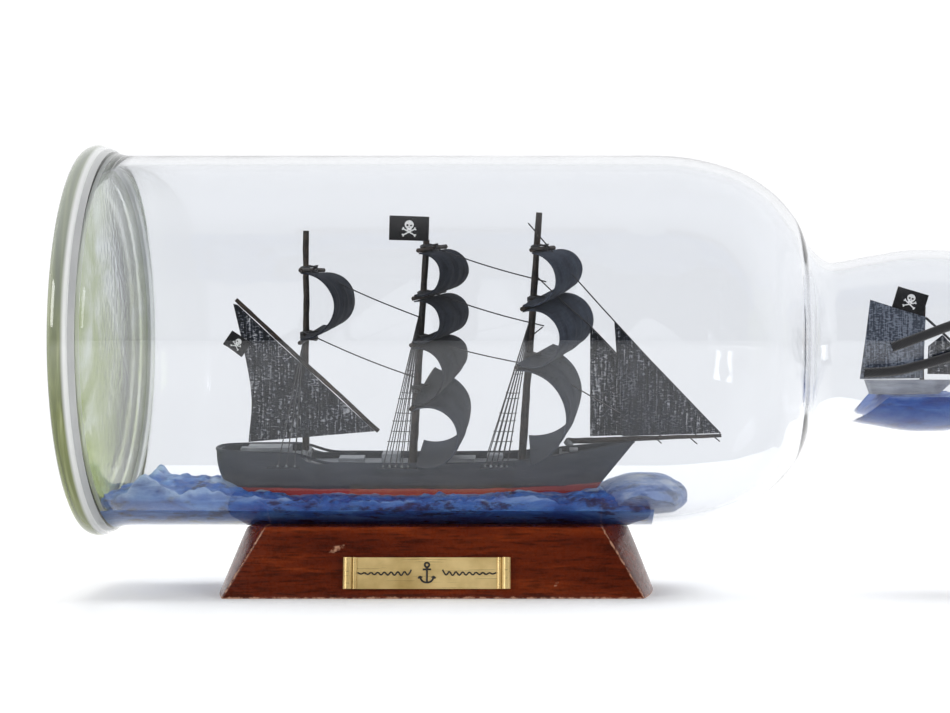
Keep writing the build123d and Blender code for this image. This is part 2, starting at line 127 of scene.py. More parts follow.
def new_material(name, **principled):
    """A new material and its Principled shader, with constant inputs set on its own sockets."""
    material = bpy.data.materials.new(name)
    material.use_nodes = True
    shader = material.node_tree.nodes["Principled BSDF"]
    for socket, value in principled.items():
        shader.inputs[socket.replace("_", " ")].default_value = value
    return material, material.node_tree, shader


def deselect_all():
    if bpy.context.object and bpy.context.object.mode != "OBJECT":
        bpy.ops.object.mode_set(mode="OBJECT")
    bpy.ops.object.select_all(action="DESELECT")


def pick(piece):
    """Selects one object alone and makes it the active one."""
    deselect_all()
    piece.select_set(True)
    bpy.context.view_layer.objects.active = piece
    return piece


def edit_all(piece):
    """Opens one object in edit mode with the whole of it selected."""
    pick(piece)
    bpy.ops.object.mode_set(mode="EDIT")
    bpy.ops.mesh.select_all(action="SELECT")


def added(name, kind, **settings):
    """Adds a mesh primitive and names it."""
    deselect_all()
    getattr(bpy.ops.mesh, f"primitive_{kind}_add")(**settings)
    piece = bpy.context.object
    piece.name = name
    return piece


stage_material, stage_tree, stage_shader = new_material(
    "white_paper",
    Base_Color=(0.93, 0.93, 0.93, 1),
    Roughness=0.9,
    Specular_IOR_Level=0.1,
    Emission_Strength=0.14,
)
stage_place = node(stage_tree, "TexCoord").outputs["Object"]
grain = mottling(stage_tree, stage_place, 900.0, 2.0)
paper_bump = node(stage_tree, "Bump", {"Strength": 0.03, "Height": grain})
link_input(stage_tree, stage_shader.inputs["Normal"], paper_bump.outputs["Normal"])
stage_shader.inputs["Emission Color"].default_value = (1, 1, 1, 1)

floor = added("floor", "plane", size=1, location=(0, 0, 0))
edit_all(floor)
bpy.ops.transform.resize(value=(16, 8.9, 1))
bpy.ops.transform.translate(value=(0, -4.08, 0))
bpy.ops.mesh.subdivide(number_cuts=7)
bpy.ops.object.mode_set(mode="OBJECT")
floor.data.materials.append(stage_material)

world = bpy.data.worlds.new("tent")
bpy.context.scene.world = world
world.use_nodes = True
sky = world.node_tree
direction = node(sky, "TexCoord")
parts = node(sky, "SeparateXYZ", {"Vector": direction.outputs["Generated"]})
towards_back = remap(sky, parts.outputs["Y"], -1.0, 1.0)
walls = shaded(sky, towards_back, (0.12, (0.17, 0.17, 0.17, 1)), (0.52, (1, 1, 1, 1)), easing="EASE")
ceiling = remap(sky, parts.outputs["Z"], 0.55, 0.95, 0.0, -0.3)
brightness = calculate(sky, "ADD", walls, ceiling)
above_dark = calculate(sky, "MAXIMUM", brightness, 0.16)
tent = calculate(sky, "MULTIPLY", above_dark, 1.08)
link_input(sky, sky.nodes["Background"].inputs["Strength"], tent)
sky.nodes["Background"].inputs["Color"].default_value = (0.985, 0.99, 1.0, 1)


def softbox(name, place, target, size, power, mirrored=False):
    """A rectangular softbox that faces a point; it shows in the glass only if it is mirrored."""
    data = bpy.data.lights.new(name, "AREA")
    data.shape = "RECTANGLE"
    data.size, data.size_y = size
    data.energy = power
    lamp = bpy.data.objects.new(name, data)
    bpy.context.scene.collection.objects.link(lamp)
    lamp.location = place
    lamp.rotation_euler = (Vector(target) - Vector(place)).to_track_quat("-Z", "Y").to_euler()
    lamp.visible_glossy = lamp.visible_transmission = mirrored


softbox("top_box", (0.0, 0.45, 1.4), (0.0, 0, 0.05), (1.0, 0.6), 11.0)
softbox("left_box", (-0.9, -0.9, 0.45), (0.0, 0, 0.04), (0.5, 0.5), 6.0, mirrored=True)
softbox("right_box", (0.9, -0.9, 0.45), (0.0, 0, 0.04), (0.5, 0.5), 6.0)
bpy.context.scene.view_settings.view_transform = "Standard"

# --- cord round the neck ------------------------------------------------------------------
# A soft black cord is wound three times round the neck and tied at the front. Its two cut
# ends, a little frayed, lie over the bulb. All of it is one length of braided polyester.
cord_radius = 1.3 * MM
lashing_turns = 3
neck_axis_z = 69.6 * MM
neck_radius = 11.6 * MM

cord_material, cord_tree, cord_shader = new_material(
    "black_cord",
    Base_Color=(0.008, 0.008, 0.01, 1),
    Roughness=0.75,
    Sheen_Weight=0.25,
    Sheen_Roughness=0.4,
)
cord_uv = node(cord_tree, "TexCoord").outputs["UV"]
braid_map = scaled(cord_tree, cord_uv, (42.0, 8.0, 1.0))
braid = node(
    cord_tree,
    "TexWave",
    {"Vector": braid_map, "Scale": 1.0, "Distortion": 1.5, "Detail": 2.0},
    bands_direction="DIAGONAL",
)
cord_place = node(cord_tree, "TexCoord").outputs["Object"]
fuzz = mottling(cord_tree, cord_place, 2600.0, 3.0)
fuzz_height = blended(cord_tree, 0.5, braid.outputs["Color"], fuzz)
bumped(cord_tree, cord_shader, fuzz_height, 0.6, 0.0004)
cord_shade = shaded(
    cord_tree, fuzz_height, (0.0, (0.003, 0.003, 0.004, 1)), (1.0, (0.02, 0.02, 0.023, 1))
)
link_input(cord_tree, cord_shader.inputs["Base Color"], cord_shade)


def smooth_curve(name, points, radius, resolution=10):
    """A curve object whose one smooth NURBS spline has these points as control points."""
    data = bpy.data.curves.new(name, "CURVE")
    data.dimensions = "3D"
    spline = data.splines.new("NURBS")
    spline.points.add(len(points) - 1)
    for target, place in zip(spline.points, points):
        target.co = (*place, 1)
    spline.order_u = 3
    spline.use_endpoint_u = True
    spline.resolution_u = resolution
    data.bevel_depth = radius
    data.bevel_resolution = 5
    data.use_fill_caps = True
    piece = bpy.data.objects.new(name, data)
    bpy.context.scene.collection.objects.link(piece)
    return piece


def to_mesh(piece):
    """Turns a curve object into a mesh object."""
    pick(piece)
    bpy.ops.object.convert(target="MESH")
    return bpy.context.object


def finish_piece(piece, material, slot, body, *nodes):
    """Gives a piece its material and body, and hides the CAD nodes that it stands for; the slot is not
    used.
    """
    piece.data.materials.clear()
    piece.data.materials.append(material)
    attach(piece, body)
    if nodes:
        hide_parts(*nodes)
    return piece


tail_routes = {
    "upper": [
        (165.5, -15.9, 75.5),
        (160.0, -19.9, 76.4),
        (154.0, -24.1, 77.0),
        (147.0, -26.5, 76.0),
        (138.5, -27.0, 73.4),
        (130.3, -26.8, 70.2),
        (123.3, -25.8, 67.6),
    ],
    "lower": [
        (165.5, -16.7, 72.6),
        (160.0, -20.8, 72.0),
        (154.0, -25.0, 70.3),
        (147.0, -27.2, 67.8),
        (138.6, -26.9, 65.0),
        (131.0, -26.1, 62.8),
        (123.6, -24.6, 60.9),
        (116.4, -22.7, 60.7),
    ],
}


def frayed_end(name, tip, outward):
    """A brush of short fibres on the cut end of a cord."""
    fibres = []
    side = outward.cross(Vector((0, 0, 1))).normalized()
    up = side.cross(outward)
    for index in range(26):
        angle = index * 2.4
        out = cord_radius * 0.92 * math.sqrt((index + 0.5) / 26)
        start = tip - outward * 0.4 * MM + side * out * math.cos(angle) + up * out * math.sin(angle)
        lean = (side * math.cos(angle) + up * math.sin(angle)) * 0.35 * out / cord_radius
        reach = (0.7 + 0.5 * noise.noise(Vector((index, 3, 7)))) * MM
        fibres.append((start, start + (outward + lean) * reach))
    data = bmesh.new()
    for start, end in fibres:
        along = end - start
        turn = along.to_track_quat("Z", "Y").to_matrix().to_4x4()
        bmesh.ops.create_cone(
            data,
            cap_ends=True,
            segments=5,
            radius1=0.16 * MM,
            radius2=0.05 * MM,
            depth=along.length,
            matrix=Matrix.Translation((start + end) / 2) @ turn,
        )
    mesh = bpy.data.meshes.new(name)
    data.to_mesh(mesh)
    data.free()
    piece = bpy.data.objects.new(name, mesh)
    bpy.context.scene.collection.objects.link(piece)
    return piece


for side_name, route in tail_routes.items():
    points = [Vector(point) * MM for point in route]
    tail = smooth_curve(f"{side_name}_tail", points, cord_radius)
    fray = frayed_end(f"{side_name}_fray", points[-1], (points[-1] - points[-2]).normalized())
    finish_piece(fray, cord_material, "black_cord", "bottle")
    finish_piece(tail, cord_material, "black_cord", "bottle", f"cord_tail_{side_name}")

lashing_low, lashing_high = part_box("neck_lashing")
winding = []
steps_per_turn = 16
turn_radius = neck_radius + cord_radius + 0.08 * MM
for step in range(lashing_turns * steps_per_turn + 1):
    angle = 2 * math.pi * step / steps_per_turn - math.radians(100)
    share = step / (lashing_turns * steps_per_turn)
    start_x, end_x = lashing_low[0] + cord_radius, lashing_high[0] - cord_radius
    winding.append(
        Vector(
            (
                start_x + (end_x - start_x) * share,
                math.cos(angle) * turn_radius / math.cos(math.pi / steps_per_turn / 1.4),
                neck_axis_z + math.sin(angle) * turn_radius / math.cos(math.pi / steps_per_turn / 1.4),
            )
        )
    )
lashing = to_mesh(smooth_curve("neck_winding", winding, cord_radius * 0.98, resolution=4))
finish_piece(lashing, cord_material, "black_cord", "bottle", "neck_lashing")

knot_centre = Vector((168.0, -15.9, 74.9)) * MM
knot_points = []
for step in range(25):
    angle = 2 * math.pi * step / 24
    loop = Vector(
        (
            math.sin(angle) + 2 * math.sin(2 * angle),
            0.9 * math.sin(3 * angle),
            math.cos(angle) - 2 * math.cos(2 * angle),
        )
    )
    knot_points.append(knot_centre + loop * 0.82 * MM)
knot = to_mesh(smooth_curve("cord_knot", knot_points, cord_radius * 0.95, resolution=6))
finish_piece(knot, cord_material, "black_cord", "bottle", "neck_knot")

# --- stand --------------------------------------------------------------------------------
# One block of mahogany, sawn with sloping ends and hips, hollowed along its top for the
# bottle, stained dark red and lacquered. The lacquer is worn to bare wood along the edges.
wood_material, wood_tree, wood_shader = new_material(
    "lacquered_mahogany", Roughness=0.3, Coat_Weight=0.1, Coat_Roughness=0.1, Specular_IOR_Level=0.12
)
wood_place = node(wood_tree, "TexCoord").outputs["Object"]
grain_map = scaled(wood_tree, wood_place, (26.0, 120.0, 210.0))
mottle = mottling(wood_tree, grain_map, 1.0, 8.0, Roughness=0.65)
pore_map = scaled(wood_tree, wood_place, (160.0, 900.0, 1600.0))
pores = mottling(wood_tree, pore_map, 1.0, 4.0)
stain = shaded(
    wood_tree,
    mottle,
    (0.3, (0.050, 0.0055, 0.0016, 1)),
    (0.72, (0.200, 0.032, 0.006, 1)),
    (0.55, (0.110, 0.0145, 0.0026, 1)),
)
pore_ramp = shaded(wood_tree, pores, (0.36, (0.35, 0.35, 0.35, 1)), (0.52, (1, 1, 1, 1)))
grained = blended(
    wood_tree, 0.75, stain, pore_ramp, blend_type="MULTIPLY"
)
# the lacquer wears through along the hips and the foot, and at two knocks on the front
wood_parts = node(wood_tree, "SeparateXYZ", {"Vector": wood_place})
off_centre = calculate(wood_tree, "ABSOLUTE", wood_parts.outputs["X"])
slope = calculate(wood_tree, "MULTIPLY_ADD", wood_parts.outputs["Z"], 0.6, off_centre)
past_hip = calculate(wood_tree, "SUBTRACT", slope, 0.0569)
from_hip = calculate(wood_tree, "ABSOLUTE", past_hip)
most_worn = calculate(
    wood_tree,
    "MAXIMUM",
    remap(wood_tree, from_hip, 0.0001, 0.0009, 1.0, 0.0),
    remap(wood_tree, wood_parts.outputs["Z"], 0.0003, 0.0012, 1.0, 0.0),
)
knocks = (((-25.8, -22, 13.4), 24, 5.0, 1.9), ((33.1, -24, 3.9), 38, 1.9, 1.0))
for place, tilt, length, width in knocks:
    knock = node(
        wood_tree,
        "Mapping",
        {
            "Vector": wood_place,
            "Location": Vector(place) * MM,
            "Rotation": (0, math.radians(-tilt), 0),
            "Scale": (length * MM, 0.02, width * MM),
        },
        vector_type="TEXTURE",
    )
    spread = node(wood_tree, "VectorMath", {0: knock.outputs["Vector"]}, operation="LENGTH")
    knocked = remap(wood_tree, spread.outputs["Value"], 0.3, 1.0, 0.9, 0.0)
    most_worn = calculate(wood_tree, "MAXIMUM", most_worn, knocked)
scuff_noise = mottling(wood_tree, wood_place, 700.0, 6.0, Roughness=0.7)
worn = calculate(wood_tree, "MULTIPLY_ADD", most_worn, 0.5, scuff_noise)
worn_mask = remap(wood_tree, worn, 0.88, 1.04, 0.0, 0.85)
worn_wood = blended(wood_tree, worn_mask, grained, (0.46, 0.25, 0.16, 1))
link_input(wood_tree, wood_shader.inputs["Base Color"], worn_wood)
rough_wood = remap(wood_tree, scuff_noise, 0.35, 0.75, 0.2, 0.42)
link_input(wood_tree, wood_shader.inputs["Roughness"], rough_wood)
bumped(wood_tree, wood_shader, pores, 0.12, 0.0003)


def smooth_by(piece, degrees):
    """Shades a piece smooth, but for the edges sharper than an angle."""
    piece.data.shade_smooth()
    pick(piece)
    bpy.ops.object.shade_smooth_by_angle(angle=math.radians(degrees))


stand_height = 19.1 * MM
half_depth_foot, half_depth_top = 25 * MM, 22 * MM
# half widths at the foot, the shoulder and the top, on the front face and half way back
front_half_widths = (56.9, 50.3, 45.5)
middle_half_widths = (60.3, 56.0, 52.6)
shoulder_share = 11.0 / 19.1
cradle_radius = 52.0 * MM


def width_at(widths, share):
    """The half width at a share of the stand's height, on a smooth curve through three."""
    foot, shoulder_width, top = widths
    bend = (shoulder_width - foot - (top - foot) * shoulder_share) / (
        shoulder_share * (shoulder_share - 1)
    )
    return (foot + (top - foot) * share + bend * share * (share - 1)) * MM


stand = added("mahogany_stand", "grid", x_subdivisions=8, y_subdivisions=16, size=2)
edit_all(stand)
bpy.ops.mesh.extrude_region_move(TRANSFORM_OT_translate={"value": (0, 0, 1)})
bpy.ops.mesh.select_all(action="SELECT")
bpy.ops.mesh.normals_make_consistent(inside=False)
for level in range(1, 8):
    bpy.ops.mesh.select_all(action="SELECT")
    bpy.ops.mesh.bisect(plane_co=(0, 0, level / 8), plane_no=(0, 0, 1))
bpy.ops.object.mode_set(mode="OBJECT")
for vertex in stand.data.vertices:
    share = vertex.co.z
    depth = half_depth_foot + (half_depth_top - half_depth_foot) * share
    bow = 1 - vertex.co.y**2
    front_width = width_at(front_half_widths, share)
    width = front_width + (width_at(middle_half_widths, share) - front_width) * bow
    vertex.co = (vertex.co.x * width, vertex.co.y * depth, share * stand_height)
deselect_all()
bpy.ops.mesh.primitive_cylinder_add(
    vertices=256,
    radius=cradle_radius,
    depth=0.2,
    location=(0, 0, neck_axis_z),
    rotation=(0, math.radians(90), 0),
)
cradle_cutter = bpy.context.object
pick(stand)
cut = stand.modifiers.new("cradle", "BOOLEAN")
cut.object = cradle_cutter
cut.operation = "DIFFERENCE"
cut.solver = "EXACT"
bpy.ops.object.modifier_apply(modifier="cradle")
bpy.data.objects.remove(cradle_cutter)
edges_round = stand.modifiers.new("edges", "BEVEL")
edges_round.width = 0.45 * MM
edges_round.segments = 3
edges_round.limit_method = "ANGLE"
edges_round.angle_limit = math.radians(35)
bpy.ops.object.modifier_apply(modifier="edges")
smooth_by(stand, 30)
finish_piece(stand, wood_material, "lacquered_mahogany", "stand", "stand_block")

# --- nameplate ----------------------------------------------------------------------------
# Thin brass sheet with its two ends curled into scrolls, pinned to the front of the stand.
# It carries a plain engraved line of waves and an anchor, filled with black.
def dress(cad_node, material):
    """Gives a CAD piece that is shown as it is its material."""
    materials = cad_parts[cad_node].data.materials
    materials.clear()
    materials.append(material)


brass_material, brass_tree, brass_shader = new_material(
    "nameplate_brass", Metallic=0.5, Roughness=0.3, Specular_IOR_Level=0.5
)
brass_place = node(brass_tree, "TexCoord").outputs["Object"]
brush_map = scaled(brass_tree, brass_place, (60.0, 3000.0, 3000.0))
brushing = mottling(brass_tree, brush_map, 1.0, 3.0)
tarnish = mottling(brass_tree, brass_place, 90.0, 5.0)
brass_colour = shaded(brass_tree, tarnish, (0.3, (0.47, 0.32, 0.11, 1)), (0.6, (0.80, 0.60, 0.27, 1)))
link_input(brass_tree, brass_shader.inputs["Base Color"], brass_colour)
brass_rough = remap(brass_tree, brushing, 0.3, 0.7, 0.24, 0.44)
link_input(brass_tree, brass_shader.inputs["Roughness"], brass_rough)
bumped(brass_tree, brass_shader, brushing, 0.15, 0.0001)
dress("nameplate", brass_material)

enamel_material, enamel_tree, enamel_shader = new_material(
    "black_enamel", Base_Color=(0.012, 0.010, 0.009, 1), Roughness=0.35
)
enamel_place = node(enamel_tree, "TexCoord").outputs["Object"]
enamel_noise = mottling(enamel_tree, enamel_place, 1500.0, 2.0)
bumped(enamel_tree, enamel_shader, enamel_noise, 0.1, 0.0001)
plate_centre = Vector((-1.6, 0, 6.8)) * MM
stand_lean = math.atan2(3, 19.1)
plate_thickness = 0.8 * MM


def on_plate(across_plate, up_plate):
    """A point on the face of the plate, from its centre."""
    z = plate_centre.z + up_plate * math.cos(stand_lean)
    y = -half_depth_foot + z * math.tan(stand_lean) - plate_thickness / math.cos(stand_lean)
    return Vector((plate_centre.x + across_plate, y, z))


def engraved_line(name, points, radius):
    line = smooth_curve(name, [on_plate(x * MM, up * MM) for x, up in points], radius, resolution=6)
    line.data.bevel_resolution = 2
    return to_mesh(line)


engraving = []
for side in (-1, 1):
    waves = [(side * (4.2 + 0.9 * step), 1.05 * (-1) ** step * (1 - step / 22)) for step in range(17)]
    engraving.append(engraved_line("plate_waves", waves, 0.22 * MM))
anchor_strokes = [
    [(0, 1.7), (0, 0.4), (0, -1.2), (0, -2.3)],
    [(-1.1, 1.1), (0, 1.15), (1.1, 1.1)],
    [(-1.9, -0.7), (-1.5, -2.0), (0, -2.5), (1.5, -2.0), (1.9, -0.7)],
    [(-2.3, -1.3), (-1.9, -0.5), (-1.3, -1.1)],
    [(2.3, -1.3), (1.9, -0.5), (1.3, -1.1)],
    [(0, 1.6), (-0.7, 2.0), (-0.5, 2.9), (0.5, 2.9), (0.7, 2.0), (0, 1.6)],
]
for stroke in anchor_strokes:
    engraving.append(engraved_line("plate_anchor", stroke, 0.27 * MM))


def join_pieces(pieces, name):
    """Joins mesh objects into one."""
    deselect_all()
    for piece in pieces:
        piece.select_set(True)
    bpy.context.view_layer.objects.active = pieces[0]
    bpy.ops.object.join()
    joined = bpy.context.object
    joined.name = name
    return joined


plate_engraving = join_pieces(engraving, "plate_engraving")
finish_piece(plate_engraving, enamel_material, "nameplate_brass", "stand")

# --- bottle -------------------------------------------------------------------------------
# A bottle blown in clear glass, with a bulb in its neck. Its thick foot is a disc of olive
# green glass, fused on. The four pieces, which are the body, the flare, the rim and the disc
# of the foot, meet edge to edge, so no surface lies inside the glass. The pale, half-clear
# band of the flare is a painted highlight.
foot_end = -91.3
wall_thickness = 2.4
spin_steps = 160
body_radius = 51.7


def glass_material(name, colour, tint_nodes=None, seeds=0.0, roughness=0.0):
    """Clear glass that lets lamp light through to what is inside; seeds are tiny bubbles in it."""
    material, tree, shader = new_material(
        name,
        Base_Color=colour,
        Roughness=roughness,
        IOR=1.42,
        Transmission_Weight=1.0,
        Specular_IOR_Level=0.5,
    )
    if tint_nodes:
        link_input(tree, shader.inputs["Base Color"], tint_nodes(tree))
    place = node(tree, "TexCoord").outputs["Object"]
    sag_map = scaled(tree, place, (14.0, 14.0, 14.0))
    ripple = mottling(tree, sag_map, 1.0, 1.5)
    bubbles = mottling(tree, place, 420.0, 2.0)
    surface = calculate(tree, "MULTIPLY_ADD", bubbles, seeds, ripple)
    bumped(tree, shader, surface, 0.25, 0.0012)
    ray = node(tree, "LightPath")
    clear = node(tree, "BsdfTransparent", {"Color": (0.93, 0.94, 0.95, 1)})
    mix = node(tree, "MixShader", {0: ray.outputs["Is Shadow Ray"]})
    tree.links.new(shader.outputs["BSDF"], mix.inputs[1])
    tree.links.new(clear.outputs["BSDF"], mix.inputs[2])
    tree.links.new(mix.outputs["Shader"], tree.nodes["Material Output"].inputs["Surface"])
    return material


def bezier_line(points, resolution):
    """Points along a smooth line through (x, radius) pairs; it runs level at both ends."""
    data = bpy.data.curves.new("profile", "CURVE")
    data.dimensions = "3D"
    data.resolution_u = resolution
    spline = data.splines.new("BEZIER")
    spline.bezier_points.add(len(points) - 1)
    for knot_point, (x, radius) in zip(spline.bezier_points, points):
        knot_point.co = (x * MM, 0, radius * MM)
        knot_point.handle_left_type = knot_point.handle_right_type = "AUTO"
    curve = bpy.data.objects.new("profile", data)
    bpy.context.scene.collection.objects.link(curve)
    bpy.context.view_layer.update()
    for knot_point, inward in ((spline.bezier_points[0], 1), (spline.bezier_points[-1], -2)):
        reach = 0.33 * abs(spline.bezier_points[inward].co.x - knot_point.co.x)
        knot_point.handle_left_type = knot_point.handle_right_type = "FREE"
        knot_point.handle_left = knot_point.co - Vector((reach, 0, 0))
        knot_point.handle_right = knot_point.co + Vector((reach, 0, 0))
    mesh = bpy.data.meshes.new_from_object(curve)
    line = [(vertex.co.x / MM, vertex.co.z / MM) for vertex in mesh.vertices]
    bpy.data.objects.remove(curve)
    bpy.data.meshes.remove(mesh)
    return line


def spun(name, line):
    """A line of (x, radius) pairs in millimetres, spun round the axis of the bottle."""
    piece = added(name, "circle", vertices=max(3, len(line)), radius=1)
    bpy.ops.object.mode_set(mode="EDIT")
    bpy.ops.mesh.select_all(action="DESELECT")
    bpy.ops.object.mode_set(mode="OBJECT")
    for vertex, (x, radius) in zip(piece.data.vertices, line):
        vertex.co = (x * MM, 0, neck_axis_z + radius * MM)
    closing = [edge for edge in piece.data.edges if set(edge.vertices) == {0, len(line) - 1}]
    for edge in closing:
        edge.select = True
    bpy.ops.object.mode_set(mode="EDIT")
    bpy.ops.mesh.delete(type="EDGE_FACE")
    bpy.ops.mesh.select_all(action="SELECT")
    bpy.ops.mesh.spin(
        steps=spin_steps,
        angle=2 * math.pi,
        center=(0, 0, neck_axis_z),
        axis=(1, 0, 0),
        use_auto_merge=False,
    )
    bpy.ops.mesh.select_all(action="SELECT")
    bpy.ops.mesh.remove_doubles(threshold=0.00001)
    bpy.ops.mesh.normals_make_consistent(inside=False)
    bpy.ops.object.mode_set(mode="OBJECT")
    piece.data.shade_smooth()
    return piece


def offset_line(line, wall):
    """The line moved inwards, square to itself, by a wall's thickness."""
    moved = []
    for index, (x, radius) in enumerate(line):
        before = line[max(0, index - 1)]
        after = line[min(len(line) - 1, index + 1)]
        run, rise = after[0] - before[0], after[1] - before[1]
        length = math.hypot(run, rise)
        moved.append((x + rise / length * wall, radius - run / length * wall))
    return moved


flare = bezier_line([(-91.3, 53.5), (-88.5, 52.2), (-84.0, 51.7)], 8)
shoulder = bezier_line(
    [(59.5, 51.7), (79.1, 48.9), (90.4, 43.6), (98.8, 35.4), (104.2, 25.9), (110.5, 21.9)], 14
)
bulb = bezier_line(
    [(110.5, 21.9), (120.5, 23.6), (135.5, 25.5), (149.0, 23.6), (157.5, 17.4), (164.4, 11.6)], 12
)
flare_band = [point for point in flare if point[0] <= -89.3]
body_side = [(x, body_radius) for x in (-66, -40, -15, 10, 35)]
outside = flare[len(flare_band) - 1 :] + body_side + shoulder + bulb[1:]
neck_line = [(168.5, 11.6), (172.6, 11.6), (173.2, 11.7)]
lip_line = [
    (175.85 + 2.65 * math.cos(angle), 11.6 + 2.2 * math.sin(angle))
    for angle in [math.radians(170 - 20 * step) for step in range(9)]
]
bore_line = [(178.5, 11.2), (178.4, 9.6), (178.0, 9.18), (167.0, 8.55), (164.4, 9.2)]
inside = offset_line(shoulder + bulb[1:], wall_thickness)
inside = inside[::-1] + [(x, body_radius - wall_thickness) for x in (35, 10, -15, -40, -66, -84, -89.3)]
glass_body = spun("glass_body", outside + neck_line + lip_line + bore_line + inside[1:])
clear_glass = glass_material("clear_glass", (0.880, 0.892, 0.912, 1))
finish_piece(glass_body, clear_glass, "clear_glass", "bottle", "bottle_shell", "bottle_neck")

# the flare above the foot gets pale, half-clear glass: a painted highlight along the foot
flare_outside = spun("flare_outside", flare_band)
flare_inside = spun(
    "flare_inside",
    [
        (-89.3, body_radius - wall_thickness),
        (-90.2, body_radius - wall_thickness),
        (-91.0, 49.1),
        (foot_end, 48.5),
    ],
)
edit_all(flare_inside)
bpy.ops.mesh.flip_normals()
bpy.ops.object.mode_set(mode="OBJECT")
glass_flare = join_pieces([flare_outside, flare_inside], "glass_flare")
# painted highlight: a cloudy pale colour stands for the light caught in the flare
painted_highlight_glass, highlight_tree, highlight_shader = new_material(
    "painted_highlight_glass", Roughness=0.2, IOR=1.42, Transmission_Weight=0.6, Specular_IOR_Level=0.5
)
highlight_place = node(highlight_tree, "TexCoord").outputs["Object"]
highlight_cloud = mottling(highlight_tree, highlight_place, 60.0, 3.0)
painted_highlight_colour = shaded(
    highlight_tree, highlight_cloud, (0.3, (0.78, 0.80, 0.82, 1)), (0.65, (0.95, 0.96, 0.97, 1))
)
link_input(highlight_tree, highlight_shader.inputs["Base Color"], painted_highlight_colour)
finish_piece(glass_flare, painted_highlight_glass, "clear_glass", "bottle")


def olive_shades(tree):
    """Olive green with darker streaks round the foot; the greyed top and near-white inner edge are
    painted highlight.
    """
    place = node(tree, "TexCoord").outputs["Object"]
    stretched = scaled(tree, place, (260.0, 22.0, 22.0))
    streaks = mottling(tree, stretched, 1.0, 3.0, Distortion=1.2)
    ramp = shaded(
        tree,
        streaks,
        (0.34, (0.045, 0.05, 0.012, 1)),
        (0.66, (0.40, 0.43, 0.19, 1)),
        (0.5, (0.17, 0.20, 0.055, 1)),
    )
    parts = node(tree, "SeparateXYZ", {"Vector": place})
    # painted highlight: the rim turns greyer and paler towards its top
    upper = remap(tree, parts.outputs["Z"], 0.05, 0.095, 0.0, 0.75)
    painted_highlight_top = blended(tree, upper, ramp, (0.42, 0.45, 0.41, 1))
    # painted highlight: a near-white band along the inner edge of the rim, next to the flare
    inner = remap(tree, parts.outputs["X"], -0.0930, -0.0922, 0.0, 0.9)
    painted_highlight_edge = blended(tree, inner, painted_highlight_top, (0.93, 0.94, 0.95, 1))
    return painted_highlight_edge


rim_line = [
    (-94.0 + 2.6 * math.cos(angle), 53.0 + 1.6 * math.sin(angle))
    for angle in [math.radians(15 + 18 * step) for step in range(10)]
]
foot_rim = spun("foot_rim", [(foot_end, 53.5)] + rim_line + [(-96.6, 50), (-96.6, 46)])
olive_glass, olive_tree, olive_shader = new_material(
    "olive_glass",
    Roughness=0.05,
    IOR=1.45,
    Transmission_Weight=0.3,
    Specular_IOR_Level=0.6,
    Coat_Weight=0.4,
    Coat_Roughness=0.03,
)
link_input(olive_tree, olive_shader.inputs["Base Color"], olive_shades(olive_tree))
finish_piece(foot_rim, olive_glass, "green_glass", "bottle", "bottle_foot")

foot_front = spun(
    "foot_front", [(foot_end, 48.5), (foot_end, 40), (foot_end, 25), (foot_end, 10), (foot_end, 0.01)]
)
foot_hollow = [(-94.4 - 2.2 * (max(r, 0.01) / 46) ** 3, max(r, 0.01)) for r in range(0, 47, 2)]
foot_back = spun("foot_back", foot_hollow)
for disc, side in ((foot_front, 1), (foot_back, -1)):
    edit_all(disc)
    if disc.data.polygons[0].normal.x * side < 0:
        bpy.ops.mesh.flip_normals()
    bpy.ops.object.mode_set(mode="OBJECT")
foot_disc = join_pieces([foot_front, foot_back], "foot_disc")


def pale_olive(tree):
    """A pale green seen through the thin middle of the foot, uneven and deeper low down."""
    place = node(tree, "TexCoord").outputs["Object"]
    parts = node(tree, "SeparateXYZ", {"Vector": place})
    lower = remap(tree, parts.outputs["Z"], 0.105, 0.025, 0.0, 0.75)
    swirl = mottling(tree, place, 26.0, 3.5, Distortion=2.5)
    uneven = remap(tree, swirl, 0.35, 0.65, 0.0, 0.55)
    mixed = calculate(tree, "ADD", lower, uneven)
    ramp = shaded(tree, mixed, (0.15, (0.70, 0.73, 0.70, 1)), (0.85, (0.32, 0.38, 0.14, 1)))
    return ramp


green_glass = glass_material("green_glass", (0.8, 0.83, 0.7, 1), pale_olive, seeds=0.3, roughness=0.1)
finish_piece(foot_disc, green_glass, "green_glass", "bottle")

# --- cork ---------------------------------------------------------------------------------
# A tapered stopper cut from natural cork, pushed into the mouth. Its dark pores are left open.
cork_material, cork_tree, cork_shader = new_material(
    "natural_cork", Roughness=0.85, Specular_IOR_Level=0.2
)
cork_place = node(cork_tree, "TexCoord").outputs["Object"]
cork_noise = mottling(cork_tree, cork_place, 420.0, 7.0, Roughness=0.7)
cork_colour = shaded(
    cork_tree, cork_noise, (0.32, (0.12, 0.05, 0.02, 1)), (0.55, (0.56, 0.36, 0.19, 1))
)
cork_pits = node(cork_tree, "TexVoronoi", {"Vector": cork_place, "Scale": 520.0, "Randomness": 1.0})
bumped(cork_tree, cork_shader, cork_pits.outputs["Distance"], 0.5, 0.0004)
link_input(cork_tree, cork_shader.inputs["Base Color"], cork_colour)
dress("cork_stopper", cork_material)

# --- sea ----------------------------------------------------------------------------------
# Blue modelling clay pressed along the bottom of the bottle and worked into waves with a
# tool. Crests curl up near the foot; smudges of brown and white are kneaded into it.
sea_level = 27.0
sea_start, sea_end = -91.0, 59.6
clay_radius = 49.5


